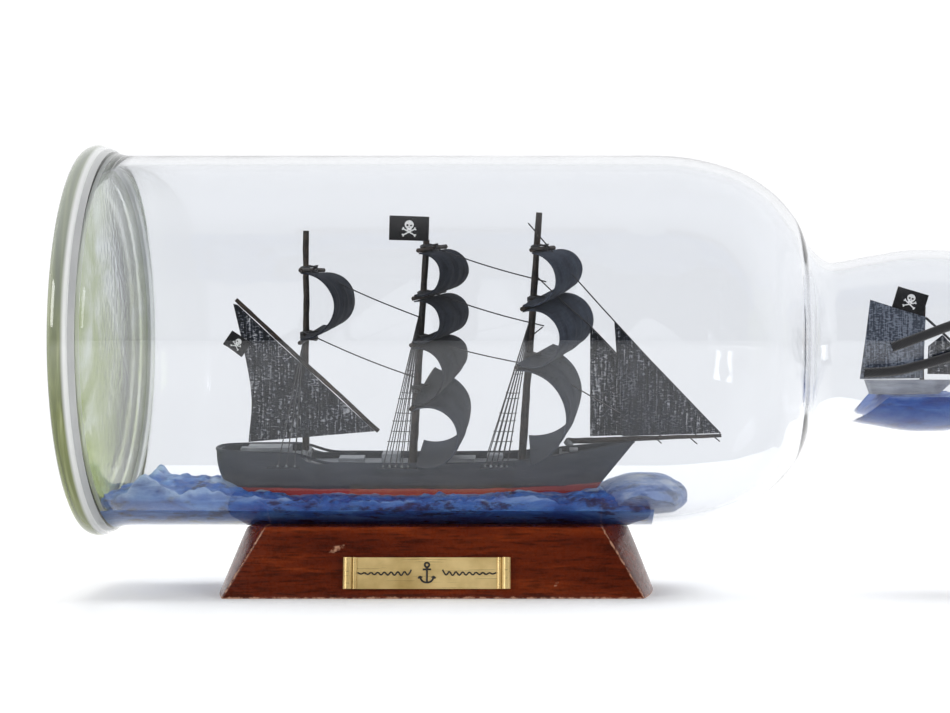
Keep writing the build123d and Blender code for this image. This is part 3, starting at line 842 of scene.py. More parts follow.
def clay_material(name, dark, middle, light, foam, smudge):
    """Modelling clay: kneaded colours, tool marks and a waxy skin."""
    material, tree, shader = new_material(
        name, Roughness=0.42, Specular_IOR_Level=0.3, Subsurface_Weight=0.05
    )
    shader.inputs["Subsurface Radius"].default_value = (0.0008, 0.0012, 0.002)
    place = node(tree, "TexCoord").outputs["Object"]
    drawn_out = scaled(tree, place, (70.0, 130.0, 240.0))
    kneaded = mottling(tree, drawn_out, 1.0, 5.0, Roughness=0.6, Distortion=0.8)
    colour = shaded(tree, kneaded, (0.30, dark), (0.74, light), (0.50, middle))
    dirt_map = node(
        tree, "Mapping", {"Vector": place, "Location": (3.1, 1.7, 0.4), "Scale": (120.0, 160.0, 320.0)}
    )
    dirt = mottling(tree, dirt_map.outputs["Vector"], 1.0, 6.0, Roughness=0.7)
    dirt_mask = remap(tree, dirt, 0.53, 0.61, 0.0, 0.85)
    dirty = blended(tree, dirt_mask, colour, smudge)
    crest = node(tree, "Attribute", attribute_name="crest")
    crest_edge = calculate(tree, "MULTIPLY", crest.outputs["Fac"], kneaded)
    foam_mask = remap(tree, crest_edge, 0.24, 0.54, 0.0, 0.85)
    foamy = blended(tree, foam_mask, dirty, foam)
    link_input(tree, shader.inputs["Base Color"], foamy)
    prints = mottling(tree, place, 650.0, 4.0, Roughness=0.55)
    heights = calculate(tree, "ADD", kneaded, prints)
    bumped(tree, shader, heights, 0.55, 0.0009)
    skin = remap(tree, prints, 0.3, 0.7, 0.3, 0.55)
    link_input(tree, shader.inputs["Roughness"], skin)
    return material


def set_crests(piece, values):
    """Stores at each vertex how far the clay counts as a crest."""
    piece.data.attributes.new("crest", "FLOAT", "POINT").data.foreach_set("value", values)


def close_clay(piece, threshold):
    """Merges the points of a lump that meet, and fills the openings that are left."""
    edit_all(piece)
    bpy.ops.mesh.remove_doubles(threshold=threshold)
    bpy.ops.mesh.select_all(action="DESELECT")
    bpy.ops.mesh.select_non_manifold(extend=False)
    bpy.ops.mesh.fill_holes(sides=0)
    bpy.ops.mesh.select_all(action="SELECT")
    bpy.ops.mesh.normals_make_consistent(inside=False)
    bpy.ops.object.mode_set(mode="OBJECT")


def ridge(value, centre, half):
    """A rounded crest, 1 at its centre and 0 beyond its half width."""
    share = min(1.0, abs(value - centre) / half)
    return (1 - share * share) ** 2


def wave_height(x, y):
    """Height of the clay above the sea level, in millimetres."""
    chop = noise.noise(Vector((x * 0.10, y * 0.16, 1.3))) * 1.3
    chop += abs(noise.noise(Vector((x * 0.30, y * 0.26, 7.7)))) * 1.5
    chop += noise.noise(Vector((x * 0.8, y * 0.7, 2.2))) * 0.45
    crest_x = -80.0 + 2.0 * noise.noise(Vector((y * 0.1, 4, 0)))
    swell = 3.6 * ridge(x, crest_x + 1.0, 9.0) + 3.0 * ridge(x, crest_x, 3.4)
    swell += 3.4 * ridge(x, -71.0 + 0.05 * y, 10.0) + 4.0 * ridge(x, -60.0 + 0.05 * y, 11.0)
    swell += 1.6 * ridge(x, -48.0, 9.0) * (abs(y) > 9) + 1.2 * ridge(x, 22.0, 12.0) * (abs(y) > 9)
    swell += 1.5 * ridge(x, 47.0, 12.0)
    ragged = 0.75 + 0.5 * noise.noise(Vector((x * 0.2, y * 0.12, 9.1)))
    near_wall = min(1.0, abs(y) / 42.0) ** 3
    calm = 0.45 if abs(y) < 13 and -58 < x < 45 else 1.0
    return chop * calm * (1 - 0.5 * near_wall) + swell * ragged * (
        1 - 0.25 * near_wall
    ) - 2.6 * near_wall


along_steps, round_steps = 260, 150
sea = added("clay_sea", "grid", x_subdivisions=along_steps, y_subdivisions=round_steps, size=2)
crest_values = []
axis_z = neck_axis_z / MM
for vertex in sea.data.vertices:
    x = sea_start + (sea_end - sea_start) * (vertex.co.x + 1) / 2
    turn = (vertex.co.y + 1) / 2
    half_chord = math.sqrt(clay_radius**2 - (axis_z - sea_level + 2.0) ** 2)
    if turn <= 0.5:  # across the top
        y = half_chord * (1 - 4 * turn)
        lift = wave_height(x, y)
        end_fall = 2.5 * ridge(x, sea_end, 5.0)
        z = sea_level + lift - end_fall
        floor_z = axis_z - math.sqrt(max(0.0, clay_radius**2 - y * y))
        z = max(z, floor_z + 0.02)
        beside_hull = max(0.0, 1 - abs(abs(y) - 9.0) / 7.0) * (-62 < x < 50)
        crest_values.append(
            max(
                0.0,
                min(1.0, (lift - 1.6) / 4.5 + 1.2 * beside_hull + 0.9 * (abs(y) / half_chord) ** 14),
            ),
        )
    else:  # back along the wall of the bottle
        share = (turn - 0.5) * 2
        y = half_chord * (2 * share - 1)
        z = axis_z - math.sqrt(clay_radius**2 - y * y)
        crest_values.append(0.0)
    vertex.co = (x * MM, y * MM, z * MM)
set_crests(sea, crest_values)
close_clay(sea, 0.00005)
smooth_by(sea, 50)
sea_clay = clay_material(
    "sea_clay",
    (0.010, 0.040, 0.22, 1),
    (0.045, 0.15, 0.47, 1),
    (0.16, 0.34, 0.68, 1),
    (0.42, 0.56, 0.78, 1),
    (0.016, 0.018, 0.045, 1),
)
finish_piece(sea, sea_clay, "sea_clay", "bottle", "sea")

# --- bow swell ----------------------------------------------------------------------------
# A roll of paler clay laid under the bowsprit, folded over itself so that creases run round it.
swell = added("clay_bow_swell", "uv_sphere", segments=96, ring_count=64, radius=1)
swell_crests = []
for vertex in swell.data.vertices:
    co = vertex.co.copy()
    across_folds = Vector((co.x * 1.3, co.y * 2.5, co.z * 5.0 + 1.5 * noise.noise(co * 1.2)))
    crease = 1 - min(1.0, abs(noise.noise(across_folds * 1.3)) * 5)
    fold = 0.06 * noise.noise(co * 2.2) + 0.03 * noise.noise(across_folds) - 0.045 * crease * crease
    stretch = 1 + fold
    x = 57.2 + 12.6 * co.x * stretch
    y = -2.0 + 24.0 * co.y * stretch
    z = 26.4 + 6.2 * co.z * (1 + 0.6 * fold) * (1.0 if co.z > 0 else 0.9)
    wall = axis_z - math.sqrt(max(0.0, 48.6**2 - y * y))
    narrowing = 0.25 * max(0.0, x - 59.5) ** 1.35 / 6
    vertex.co = (x * MM, y * MM, max(z, wall + narrowing) * MM)
    swell_crests.append(max(0.0, 0.3 + fold * 4 + 0.4 * co.z))
set_crests(swell, swell_crests)
swell.data.shade_smooth()
pale_clay = clay_material(
    "pale_clay",
    (0.08, 0.14, 0.34, 1),
    (0.20, 0.29, 0.53, 1),
    (0.42, 0.50, 0.66, 1),
    (0.62, 0.68, 0.76, 1),
    (0.12, 0.15, 0.22, 1),
)
finish_piece(swell, pale_clay, "pale_clay", "bottle", "bow_swell")

# --- hull and deck ------------------------------------------------------------------------
# Hull and deck are whittled from soft wood and painted: dark grey above a red waterline, pale
# grey on deck. The ship sits heeled towards the front. Rails and fittings are glued on.
heel = math.radians(6.5)


def aboard(x, y, height):
    """A point on the ship, from its own place in millimetres to the frame in metres."""
    return Vector(
        (
            x * MM,
            (y * math.cos(heel) - height * math.sin(heel)) * MM,
            (sea_level + y * math.sin(heel) + height * math.cos(heel)) * MM,
        )
    )


def painted_wood(name, paint, worn_paint, band=None, roughness=(0.35, 0.55)):
    """Brushed paint on whittled wood. A band is a second paint on the hull below a height."""
    material, tree, shader = new_material(name, Roughness=0.45, Specular_IOR_Level=0.25)
    place = node(tree, "TexCoord").outputs["Object"]
    brushed = scaled(tree, place, (120.0, 500.0, 900.0))
    strokes = mottling(tree, brushed, 1.0, 5.0)
    patches = mottling(tree, place, 160.0, 5.0, Roughness=0.65)
    blend = blended(tree, 0.5, strokes, patches)
    colour = shaded(tree, blend, (0.38, paint), (0.68, worn_paint))
    result = colour
    if band:
        top, band_colour = band
        lifted = node(tree, "VectorMath", {0: place, 1: (0, 0, sea_level * MM)}, operation="SUBTRACT")
        height = node(
            tree,
            "VectorMath",
            {0: lifted.outputs["Vector"], 1: (0, -math.sin(heel), math.cos(heel))},
            operation="DOT_PRODUCT",
        )
        wobble = calculate(tree, "MULTIPLY", patches, 0.0012)
        line = calculate(tree, "ADD", height.outputs["Value"], wobble)
        below = remap(tree, line, top, top + 0.0003, 1.0, 0.0)
        banded = blended(tree, below, result, band_colour)
        result = banded
    link_input(tree, shader.inputs["Base Color"], result)
    bumped(tree, shader, blend, 0.3, 0.0004)
    gloss = remap(tree, patches, 0.3, 0.7, roughness[0], roughness[1])
    link_input(tree, shader.inputs["Roughness"], gloss)
    return material


hull_paint = painted_wood(
    "hull_paint", (0.013, 0.017, 0.026, 1), (0.046, 0.053, 0.070, 1), (0.0032, (0.42, 0.065, 0.06, 1))
)
deck_paint = painted_wood("deck_paint", (0.13, 0.14, 0.155, 1), (0.34, 0.35, 0.37, 1))
dress("deck", deck_paint)


def through(points, share):
    """A point at a share along a smooth line of points."""
    reach = share * (len(points) - 1)
    index = min(int(reach), len(points) - 2)
    step = reach - index
    p1, p2 = points[index], points[index + 1]
    p0 = points[index - 1] if index else tuple(2 * a - b for a, b in zip(p1, p2))
    p3 = points[index + 2] if index + 2 < len(points) else tuple(2 * b - a for a, b in zip(p1, p2))
    return tuple(
        0.5
        * (
            2 * b
            + (c - a) * step
            + (2 * a - 5 * b + 4 * c - d) * step**2
            + (3 * b - a - 3 * c + d) * step**3
        )
        for a, b, c, d in zip(p0, p1, p2, p3)
    )


def level_at(steps, x):
    """A height read off a list of (x, height) pairs, eased between them."""
    for (x0, h0), (x1, h1) in zip(steps, steps[1:]):
        if x <= x1:
            share = max(0.0, (x - x0) / (x1 - x0))
            return h0 + (h1 - h0) * share
    return steps[-1][1]


# half outlines from stern to stem: x and half breadth
rail_half = [(-61.6, 0.0), (-61.2, 3.4), (-58.6, 5.9), (-52.0, 7.7), (-40.0, 9.1), (-26.0, 9.8), (
    -12.0, 9.95
),
             (4.0, 9.6), (16.0, 9.0), (27.0, 8.1), (37.0, 6.2), (45.0, 3.9), (51.0, 1.8), (55.0, 0.15)]
keel_half = [(-55.6, 0.0), (-55.2, 2.6), (-53.2, 4.6), (-48.0, 6.2), (-38.0, 7.6), (-26.0, 8.3), (
    -14.0, 8.5
),
             (0.0, 8.2), (9.0, 7.7), (17.5, 6.8), (25.0, 5.4), (32.0, 3.6), (37.5, 1.8), (42.6, 0.15)]
rail_heights = [
    (-70, 12.7), (-37, 12.3), (-35, 9.8), (0, 9.5), (22, 9.9), (34, 11.4), (50, 13.6), (70, 16)
]
deck_heights = [(-70, 10.3), (-36.4, 10.3), (-35.6, 7.9), (33.6, 7.9), (34.4, 10.5), (70, 10.5)]
keel_height = -1.2
side_rings = 14
shell = added("hull_shell", "grid", x_subdivisions=150, y_subdivisions=side_rings + 3, size=2)
for vertex in shell.data.vertices:
    round_share = (vertex.co.x + 1) / 2
    ring = round((vertex.co.y + 1) / 2 * (side_rings + 3))
    side = -1 if round_share <= 0.5 else 1
    share = 2 * round_share if round_share <= 0.5 else 2 * (1 - round_share)
    rail_x, rail_y = through(rail_half, share)
    rail_h = level_at(rail_heights, rail_x)
    keel_x, keel_y = through(keel_half, share)
    turn_in = 2.6 if share < 0.6 else 2.6 - 1.6 * (share - 0.6) / 0.4
    if ring <= 1:  # the inside of the bulwark, one thickness within the outside
        h = level_at(deck_heights, rail_x) if ring == 0 else rail_h
        fullness = ((rail_h - h) / (rail_h - keel_height)) ** turn_in
        x = rail_x + (keel_x - rail_x) * fullness + (1.4 if share < 0.1 else -1.8 if share > 0.9 else 0)
        y = max(0.0, rail_y + (keel_y - rail_y) * fullness - 1.15)
    elif ring <= side_rings + 2:  # the outside, full above and turning in below the water
        down = (ring - 2) / side_rings
        fullness = down**turn_in
        x = rail_x + (keel_x - rail_x) * fullness
        y = rail_y + (keel_y - rail_y) * fullness
        h = rail_h + (keel_height - rail_h) * down
        carve = 0.12 * noise.noise(Vector((x * 0.25, h * 0.35, 4 * side)))
        y = max(0.0, y + carve * min(1.0, y))
    else:
        x, y, h = keel_x, 0.0, keel_height
    vertex.co = aboard(x, side * y, h)
edit_all(shell)
bpy.ops.mesh.remove_doubles(threshold=0.00006)
bpy.ops.mesh.normals_make_consistent(inside=False)
bpy.ops.object.mode_set(mode="OBJECT")
smooth_by(shell, 38)
finish_piece(shell, hull_paint, "hull_paint", "bottle", "hull")

# the rail capping follows the top of the bulwark on each side
rails = []
for side in (-1, 1):
    capping_line = []
    for step in range(29):
        x, y = through(rail_half, step / 28)
        capping_line.append(aboard(x, side * max(0.0, y - 0.5), level_at(rail_heights, x) + 0.1))
    capping = smooth_curve("rail", capping_line, 0.4 * MM, resolution=4)
    capping.data.bevel_resolution = 2
    rails.append(to_mesh(capping))
rail_piece = join_pieces(rails, "hull_rails")
finish_piece(rail_piece, hull_paint, "hull_paint", "bottle")


def block(name, x, y, h, length, width, height, bevel=0.25):
    """A small rounded block standing on the ship, sized in millimetres."""
    piece = added(name, "cube", size=1)
    edit_all(piece)
    bpy.ops.mesh.bevel(offset=bevel / max(length, width, height), segments=2, affect="EDGES")
    bpy.ops.object.mode_set(mode="OBJECT")
    for vertex in piece.data.vertices:
        co = vertex.co
        vertex.co = aboard(x + co.x * length, y + co.y * width, h + (co.z + 0.5) * height)
    smooth_by(piece, 40)
    return piece


furniture = [
    block("poop_cabin", -47.0, 0, 10.6, 12.0, 7.0, 2.6),
    block("poop_bulkhead", -36.6, 0, 8.2, 0.8, 15.6, 3.6),
    block("wheel_box", -53.5, 0, 10.6, 3.0, 3.0, 2.2),
    block("after_hatch", -24.0, 0, 8.2, 7.0, 5.2, 1.9),
    block("deckhouse", -13.0, 0.5, 8.2, 5.0, 6.0, 3.0),
    block("main_hatch", 6.0, 0, 8.2, 9.0, 6.4, 1.8),
    block("spare_hatch", 16.0, 0.4, 8.2, 4.4, 5.0, 2.6),
    block("forecastle_bulkhead", 34.4, 0, 8.2, 0.8, 10.5, 3.4),
    block("windlass", 38.0, 0, 10.8, 2.4, 5.4, 1.6, 0.5),
]
deck_furniture = join_pieces(furniture, "deck_furniture")
finish_piece(deck_furniture, deck_paint, "deck_paint", "bottle")

sternpost = [
    block("transom_beam", -60.2, 0, 9.4, 1.0, 9.0, 0.9),
    block("near_channel_after", -42.0, -9.9, 8.2, 9.0, 1.5, 0.6),
    block("near_channel_main", -10.5, -10.9, 8.2, 11.0, 1.5, 0.6),
    block("near_channel_fore", 17.0, -10.1, 8.2, 10.0, 1.6, 0.6),
    block("far_channel_after", -42.0, 9.9, 8.2, 9.0, 1.5, 0.6),
    block("far_channel_main", -10.5, 10.9, 8.2, 11.0, 1.5, 0.6),
    block("far_channel_fore", 17.0, 10.1, 8.2, 10.0, 1.6, 0.6),
]
hull_fittings = join_pieces(sternpost, "hull_fittings")
finish_piece(hull_fittings, hull_paint, "hull_paint", "bottle")

# --- glue ---------------------------------------------------------------------------------
# Beads of clear-drying glue hold the rigging at the channels, the masts and the yards.
glue_material, glue_tree, glue_shader = new_material(
    "dried_glue",
    Base_Color=(0.55, 0.57, 0.58, 1),
    Roughness=0.18,
    Specular_IOR_Level=0.6,
    Coat_Weight=0.6,
)
glue_place = node(glue_tree, "TexCoord").outputs["Object"]
glue_noise = mottling(glue_tree, glue_place, 1200.0, 3.0)
glue_colour = shaded(
    glue_tree, glue_noise, (0.0, (0.03, 0.032, 0.035, 1)), (1.0, (0.38, 0.40, 0.42, 1))
)
link_input(glue_tree, glue_shader.inputs["Base Color"], glue_colour)
bumped(glue_tree, glue_shader, glue_noise, 0.3, 0.0003)


def bead(place, radius, seed):
    """A lumpy drop of dried glue."""
    deselect_all()
    bpy.ops.mesh.primitive_ico_sphere_add(subdivisions=2, radius=radius, location=place)
    drop = bpy.context.object
    bpy.ops.object.transform_apply(location=True, rotation=False, scale=False)
    for vertex in drop.data.vertices:
        out = vertex.co - place
        vertex.co = place + out * (1 + 0.45 * noise.noise(out * 900 + Vector((seed, 0, 0))))
    drop.data.shade_smooth()
    return drop


beads = []
channels = ((-43.4, 2.3, 3, 10.3), (-14.4, 1.7, 5, 10.6), (13.6, 1.5, 5, 10.4))
for first_x, step, count, rail_y in channels:
    for index in range(count):
        for side in (-1, 1):
            foot = aboard(first_x + index * step, side * rail_y, 9.3)
            beads.append(bead(foot, (0.32 + 0.12 * (index % 2)) * MM, index * 3 + side))
for place in ((-37, 0, 11.0), (-7.0, 0.4, 8.6), (23.4, 0.3, 8.6), (36.6, 0, 14.2)):
    beads.append(bead(aboard(*place), 1.3 * MM, place[0]))
glue_beads = join_pieces(beads, "glue_beads")
finish_piece(glue_beads, glue_material, "rigging_thread", "bottle")

# --- masts and yards ----------------------------------------------------------------------
# Masts, yards and the bowsprit are whittled sticks, stained black, brown where the stain is
# thin. Each yard is tied to its mast with turns of black thread.
spar_material = painted_wood(
    "spar_black", (0.006, 0.006, 0.007, 1), (0.05, 0.032, 0.022, 1), None, (0.4, 0.65)
)

thread_material, thread_tree, thread_shader = new_material(
    "rigging_thread", Roughness=0.6, Sheen_Weight=0.2, Specular_IOR_Level=0.4
)
thread_place = node(thread_tree, "TexCoord").outputs["Object"]
thread_noise = mottling(thread_tree, thread_place, 1800.0, 3.0)
thread_colour = shaded(
    thread_tree, thread_noise, (0.0, (0.006, 0.006, 0.007, 1)), (1.0, (0.05, 0.05, 0.055, 1))
)
link_input(thread_tree, thread_shader.inputs["Base Color"], thread_colour)
bumped(thread_tree, thread_shader, thread_noise, 0.5, 0.0002)


def whittled(name, start, end, start_radius, end_radius, seed):
    """A stick between two points, a little crooked and faceted by the knife."""
    steps = max(6, int((end - start).length / (2.5 * MM)))
    stick = added(name, "cylinder", vertices=14, radius=1, depth=1)
    edit_all(stick)
    for step in range(1, steps):
        bpy.ops.mesh.select_all(action="SELECT")
        bpy.ops.mesh.bisect(plane_co=(0, 0, step / steps - 0.5), plane_no=(0, 0, 1))
    bpy.ops.object.mode_set(mode="OBJECT")
    turn = (end - start).to_track_quat("Z", "Y")
    length = (end - start).length
    for vertex in stick.data.vertices:
        share = vertex.co.z + 0.5
        radius = (start_radius + (end_radius - start_radius) * share) * MM
        knife = 1 + 0.22 * noise.noise(
            Vector((vertex.co.x * 1.5, vertex.co.y * 1.5, share * steps * 0.6 + seed))
        )
        crook = Vector(
            (
                noise.noise(Vector((share * 3.0, seed, 0.5))),
                noise.noise(Vector((share * 3.0, seed, 5.5))),
                0,
            )
        ) * (0.25 * MM * 4 * share * (1 - share))
        local = Vector(
            (vertex.co.x * radius * knife, vertex.co.y * radius * knife, share * length)
        ) + crook
        vertex.co = start + turn @ local
    smooth_by(stick, 50)
    return stick


# mast: foot x, head x, head height, foot radius, head radius; each foot stands in the hull
mast_foot = 6.5
masts = {
    "mizzen": (-37.0, -36.0, 73.3, 1.0, 0.8),
    "main": (-7.1, -2.7, 70.8, 1.15, 0.85),
    "fore": (23.4, 28.4, 78.3, 1.15, 0.85),
}


def mast_x(mast, height):
    """Where along the ship the centre of a mast stands at a height."""
    foot_x, head_x, head_height = masts[mast][:3]
    return foot_x + (head_x - foot_x) * (height - mast_foot) / (head_height - mast_foot)


for index, (mast, (foot_x, head_x, head_height, foot_radius, head_radius)) in enumerate(masts.items()):
    stick = whittled(
        f"{mast}_stick",
        aboard(foot_x, 0, mast_foot),
        aboard(head_x, 0, head_height),
        foot_radius,
        head_radius,
        index * 11.0,
    )
    finish_piece(stick, spar_material, "spar_black", "bottle", f"{mast}_mast")

bowsprit_stick = whittled(
    "bowsprit_stick", aboard(36.6, 0, 14.5), aboard(79.3, 0, 16.1), 0.85, 0.5, 41.0
)
finish_piece(bowsprit_stick, spar_material, "spar_black", "bottle", "bowsprit")
lateen_stick = whittled(
    "lateen_stick", aboard(-16.4, -1.8, 17.6), aboard(-55.4, -1.8, 54.4), 0.6, 0.6, 52.0
)
finish_piece(lateen_stick, spar_material, "spar_black", "bottle", "lateen_yard")

# yard: mast, height, half length, brace and cant in degrees; a brace swings the far end forward
yards = {
    "mizzen_upper": ("mizzen", 62.4, 11.0, 10.0, -3.5),
    "mizzen_lower": ("mizzen", 44.3, 13.0, 8.0, 3.5),
    "main_royal": ("main", 68.4, 10.0, 19.0, 0.5),
    "main_topgallant": ("main", 55.6, 13.0, 16.0, 0.5),
    "main_topsail": ("main", 43.3, 14.0, 14.0, 1.5),
    "main_course": ("main", 29.3, 17.0, 8.0, 11.5),
    "fore_topgallant": ("fore", 68.3, 9.0, 20.0, -0.5),
    "fore_topsail": ("fore", 54.1, 13.0, 21.0, 6.5),
    "fore_course": ("fore", 38.2, 15.0, 20.0, 5.0),
}
yard_ahead = 1.7


def yard_point(yard, share, rise=0.0):
    """A point along a yard: share -1 is its near end and 1 its far end."""
    mast, height, half_length, brace, cant = yards[yard]
    out = share * half_length
    level = out * math.cos(math.radians(cant))
    return aboard(
        mast_x(mast, height) + yard_ahead + level * math.sin(math.radians(brace)),
        level * math.cos(math.radians(brace)),
        height + out * math.sin(math.radians(cant)) + rise,
    )


ties = []
for index, yard in enumerate(yards):
    stick = whittled(
        f"{yard}_stick", yard_point(yard, -1), yard_point(yard, 1), 0.6, 0.6, 60.0 + index * 3
    )
    finish_piece(stick, spar_material, "spar_black", "bottle", f"{yard}_yard")
    mast, height = yards[yard][:2]
    centre = aboard(mast_x(mast, height) + 0.85, 0, height)
    for lap, (tilt, offset) in enumerate(((0.7, 0.25), (-0.7, -0.25), (0.35, 0.6), (-0.35, -0.6))):
        loop = []
        for step in range(17):
            angle = 2 * math.pi * step / 16
            loop.append(
                centre
                + Vector(
                    (
                        2.35 * math.cos(angle),
                        1.5 * math.sin(angle),
                        tilt * 1.5 * math.sin(angle + lap) + offset + 0.15 * math.cos(3 * angle),
                    )
                )
                * MM
            )
        turn_of_thread = smooth_curve("tie", loop, 0.26 * MM, resolution=2)
        turn_of_thread.data.bevel_resolution = 1
        ties.append(to_mesh(turn_of_thread))
yard_ties = join_pieces(ties, "yard_ties")
finish_piece(yard_ties, thread_material, "rigging_thread", "bottle")

# --- square sails -------------------------------------------------------------------------
# Black cotton, starched over a form so that it holds its belly, and sewn to the yard above.
# The lower corners are glued to the yard below or to the rigging.
cloth = 0.35
sail_share, lashing_gap = 0.96, 0.85


def cloth_material(name, dark, light, weave_scale, open_share=0.0, streak=0.4):
    """Dyed cotton, with its weave and uneven dye; an open share lets light through the threads."""
    material, tree, shader = new_material(
        name, Roughness=0.8, Sheen_Weight=0.03, Sheen_Roughness=0.5, Specular_IOR_Level=0.15
    )
    uv = node(tree, "TexCoord").outputs["UV"]
    warp_map = scaled(tree, uv, (weave_scale, weave_scale * 0.06, 1.0))
    warp = mottling(tree, warp_map, 1.0, 2.0, Roughness=0.6)
    weft_map = scaled(tree, uv, (weave_scale * 0.07, weave_scale, 1.0))
    weft = mottling(tree, weft_map, 1.0, 2.0, Roughness=0.6)
    dye = mottling(tree, uv, 5.0, 5.0, Roughness=0.6)
    threads = blended(tree, streak, warp, weft)
    uneven = blended(tree, 0.35, threads, dye)
    colour = shaded(tree, uneven, (0.40, dark), (0.64, light))
    link_input(tree, shader.inputs["Base Color"], colour)
    bumped(tree, shader, uneven, 0.4, 0.0003)
    if open_share:
        holes = remap(tree, threads, 0.50, 0.60, 1.0, 1 - open_share)
        link_input(tree, shader.inputs["Alpha"], holes)
    return material


sailcloth = cloth_material("sailcloth", (0.005, 0.0065, 0.011, 1), (0.021, 0.026, 0.040, 1), 60.0)
faded_sailcloth = cloth_material(
    "faded_sailcloth", (0.013, 0.016, 0.025, 1), (0.052, 0.063, 0.088, 1), 70.0
)


def sheet_of_cloth(name, place, across_steps, down_steps, thickness=cloth):
    """A sheet made from a grid; place gives each point from its shares across and down."""
    sheet = added(name, "grid", x_subdivisions=across_steps, y_subdivisions=down_steps, size=2)
    for vertex in sheet.data.vertices:
        vertex.co = place((vertex.co.x + 1) / 2, (1 - vertex.co.y) / 2)
    edit_all(sheet)
    bpy.ops.mesh.remove_doubles(threshold=0.00002)
    bpy.ops.mesh.normals_make_consistent(inside=False)
    bpy.ops.object.mode_set(mode="OBJECT")
    body = sheet.modifiers.new("thickness", "SOLIDIFY")
    body.thickness = thickness * MM
    body.offset = 0
    bpy.ops.object.modifier_apply(modifier="thickness")
    smooth_by(sheet, 60)
    return sheet


# sail: head yard, foot yard or the two lower corners (x, y, height), depth of the belly
square_sails = {
    "mizzen_topsail": ("mizzen_upper", "mizzen_lower", 9.0),
    "main_royal": ("main_royal", "main_topgallant", 6.6),
    "main_topgallant": ("main_topgallant", "main_topsail", 7.4),
    "main_topsail": ("main_topsail", "main_course", 8.6),
    "main_course": ("main_course", ((-5.1, -16.1, 10.3), (-5.1, 18.3, 11.7)), 12.0),
    "fore_topgallant": ("fore_topgallant", "fore_topsail", 7.8),
    "fore_topsail": ("fore_topsail", "fore_course", 11.0),
    "fore_course": ("fore_course", ((26.3, -15.2, 10.3), (25.3, 17.5, 13.2)), 11.5),
}


def bellied(head_near, head_far, foot_near, foot_far, belly, seed):
    """Places a sail between its head and its foot, blown forward into a round belly."""

    def place(across_share, down_share):
        head = head_near.lerp(head_far, across_share)
        foot = foot_near.lerp(foot_far, across_share)
        drop = foot - head
        wind = Vector((1, 0, 0)) - drop * (drop.x / drop.length_squared)
        wind.normalize()
        half = drop.length / 2
        depth = belly * MM
        arc_radius = (half * half + depth * depth) / (2 * depth)
        swing = math.asin(min(1.0, half / arc_radius))
        if depth > half:
            swing = math.pi - swing
        angle = (2 * down_share - 1) * swing
        along_drop = half + arc_radius * math.sin(angle)
        blown = arc_radius * math.cos(angle) - (arc_radius - depth)
        edge = 4 * across_share * (1 - across_share)
        slack = 4 * down_share * (1 - down_share)
        crease = noise.noise(Vector((across_share * 5, down_share * 3, seed))) * 0.35
        crease += noise.noise(Vector((across_share * 14, down_share * 6, seed + 5))) * 0.12
        blown += slack * (crease + 0.5 * edge) * MM
        return head + drop.normalized() * along_drop + wind * blown

    return place


faded_sails = ("main_course", "fore_topgallant", "fore_topsail", "fore_course")
for seed, (sail_name, (head_yard, foot_edge, belly)) in enumerate(square_sails.items()):
    head_near = yard_point(head_yard, -sail_share, -lashing_gap)
    head_far = yard_point(head_yard, sail_share, -lashing_gap)
    if isinstance(foot_edge, str):
        foot_near = yard_point(foot_edge, -sail_share, lashing_gap)
        foot_far = yard_point(foot_edge, sail_share, lashing_gap)
    else:
        foot_near, foot_far = (aboard(*corner) for corner in foot_edge)
    place = bellied(head_near, head_far, foot_near, foot_far, belly, seed * 7.0)
    sail = sheet_of_cloth(f"{sail_name}_cloth", place, 40, 44)
    cotton = faded_sailcloth if sail_name in faded_sails else sailcloth
    finish_piece(sail, cotton, "sailcloth", "bottle", sail_name)
    width = ((head_far - head_near).length + (foot_far - foot_near).length) / 2
    drop = ((foot_near - head_near).length + (foot_far - head_far).length) / 2

# --- fore-and-aft sails -------------------------------------------------------------------
# The spanker on its slanting yard and the two jibs on their stays are cut from open gauze, so
# the light and the mast show through. Pale threads run up the cloth where it has frayed.
def gauze_material(name, dark, light, open_share):
    """Open-weave cloth seen in the upright plane of the ship, with uneven threads."""
    material, tree, shader = new_material(
        name, Roughness=0.85, Sheen_Weight=0.03, Sheen_Roughness=0.5, Specular_IOR_Level=0.15
    )
    place = node(tree, "TexCoord").outputs["Object"]
    upright = node(
        tree, "Mapping", {"Vector": place, "Rotation": (0, 0.06, 0), "Scale": (1900.0, 1.0, 170.0)}
    )
    warp = mottling(tree, upright.outputs["Vector"], 1.0, 2.0, Roughness=0.5)
    level = node(
        tree, "Mapping", {"Vector": place, "Rotation": (0, -0.05, 0), "Scale": (900.0, 1.0, 2100.0)}
    )
    weft = mottling(tree, level.outputs["Vector"], 1.0, 2.0, Roughness=0.5)
    worn_map = scaled(tree, place, (150.0, 1.0, 60.0))
    worn_patches = mottling(tree, worn_map, 1.0, 4.0)
    crossing = calculate(tree, "ADD", warp, weft)
    faint = calculate(tree, "MULTIPLY", worn_patches, 0.35)
    uneven = calculate(tree, "ADD", crossing, faint)
    spread = remap(tree, uneven, 1.0, 1.45)
    colour = shaded(tree, spread, (0.25, dark), (0.85, light))
    link_input(tree, shader.inputs["Base Color"], colour)
    holes = remap(tree, uneven, 1.22, 1.42, 1.0, 1 - open_share)
    link_input(tree, shader.inputs["Alpha"], holes)
    bumped(tree, shader, crossing, 0.5, 0.0003)
    return material


open_sailcloth = gauze_material(
    "open_sailcloth", (0.004, 0.0055, 0.009, 1), (0.066, 0.074, 0.098, 1), 0.6
)


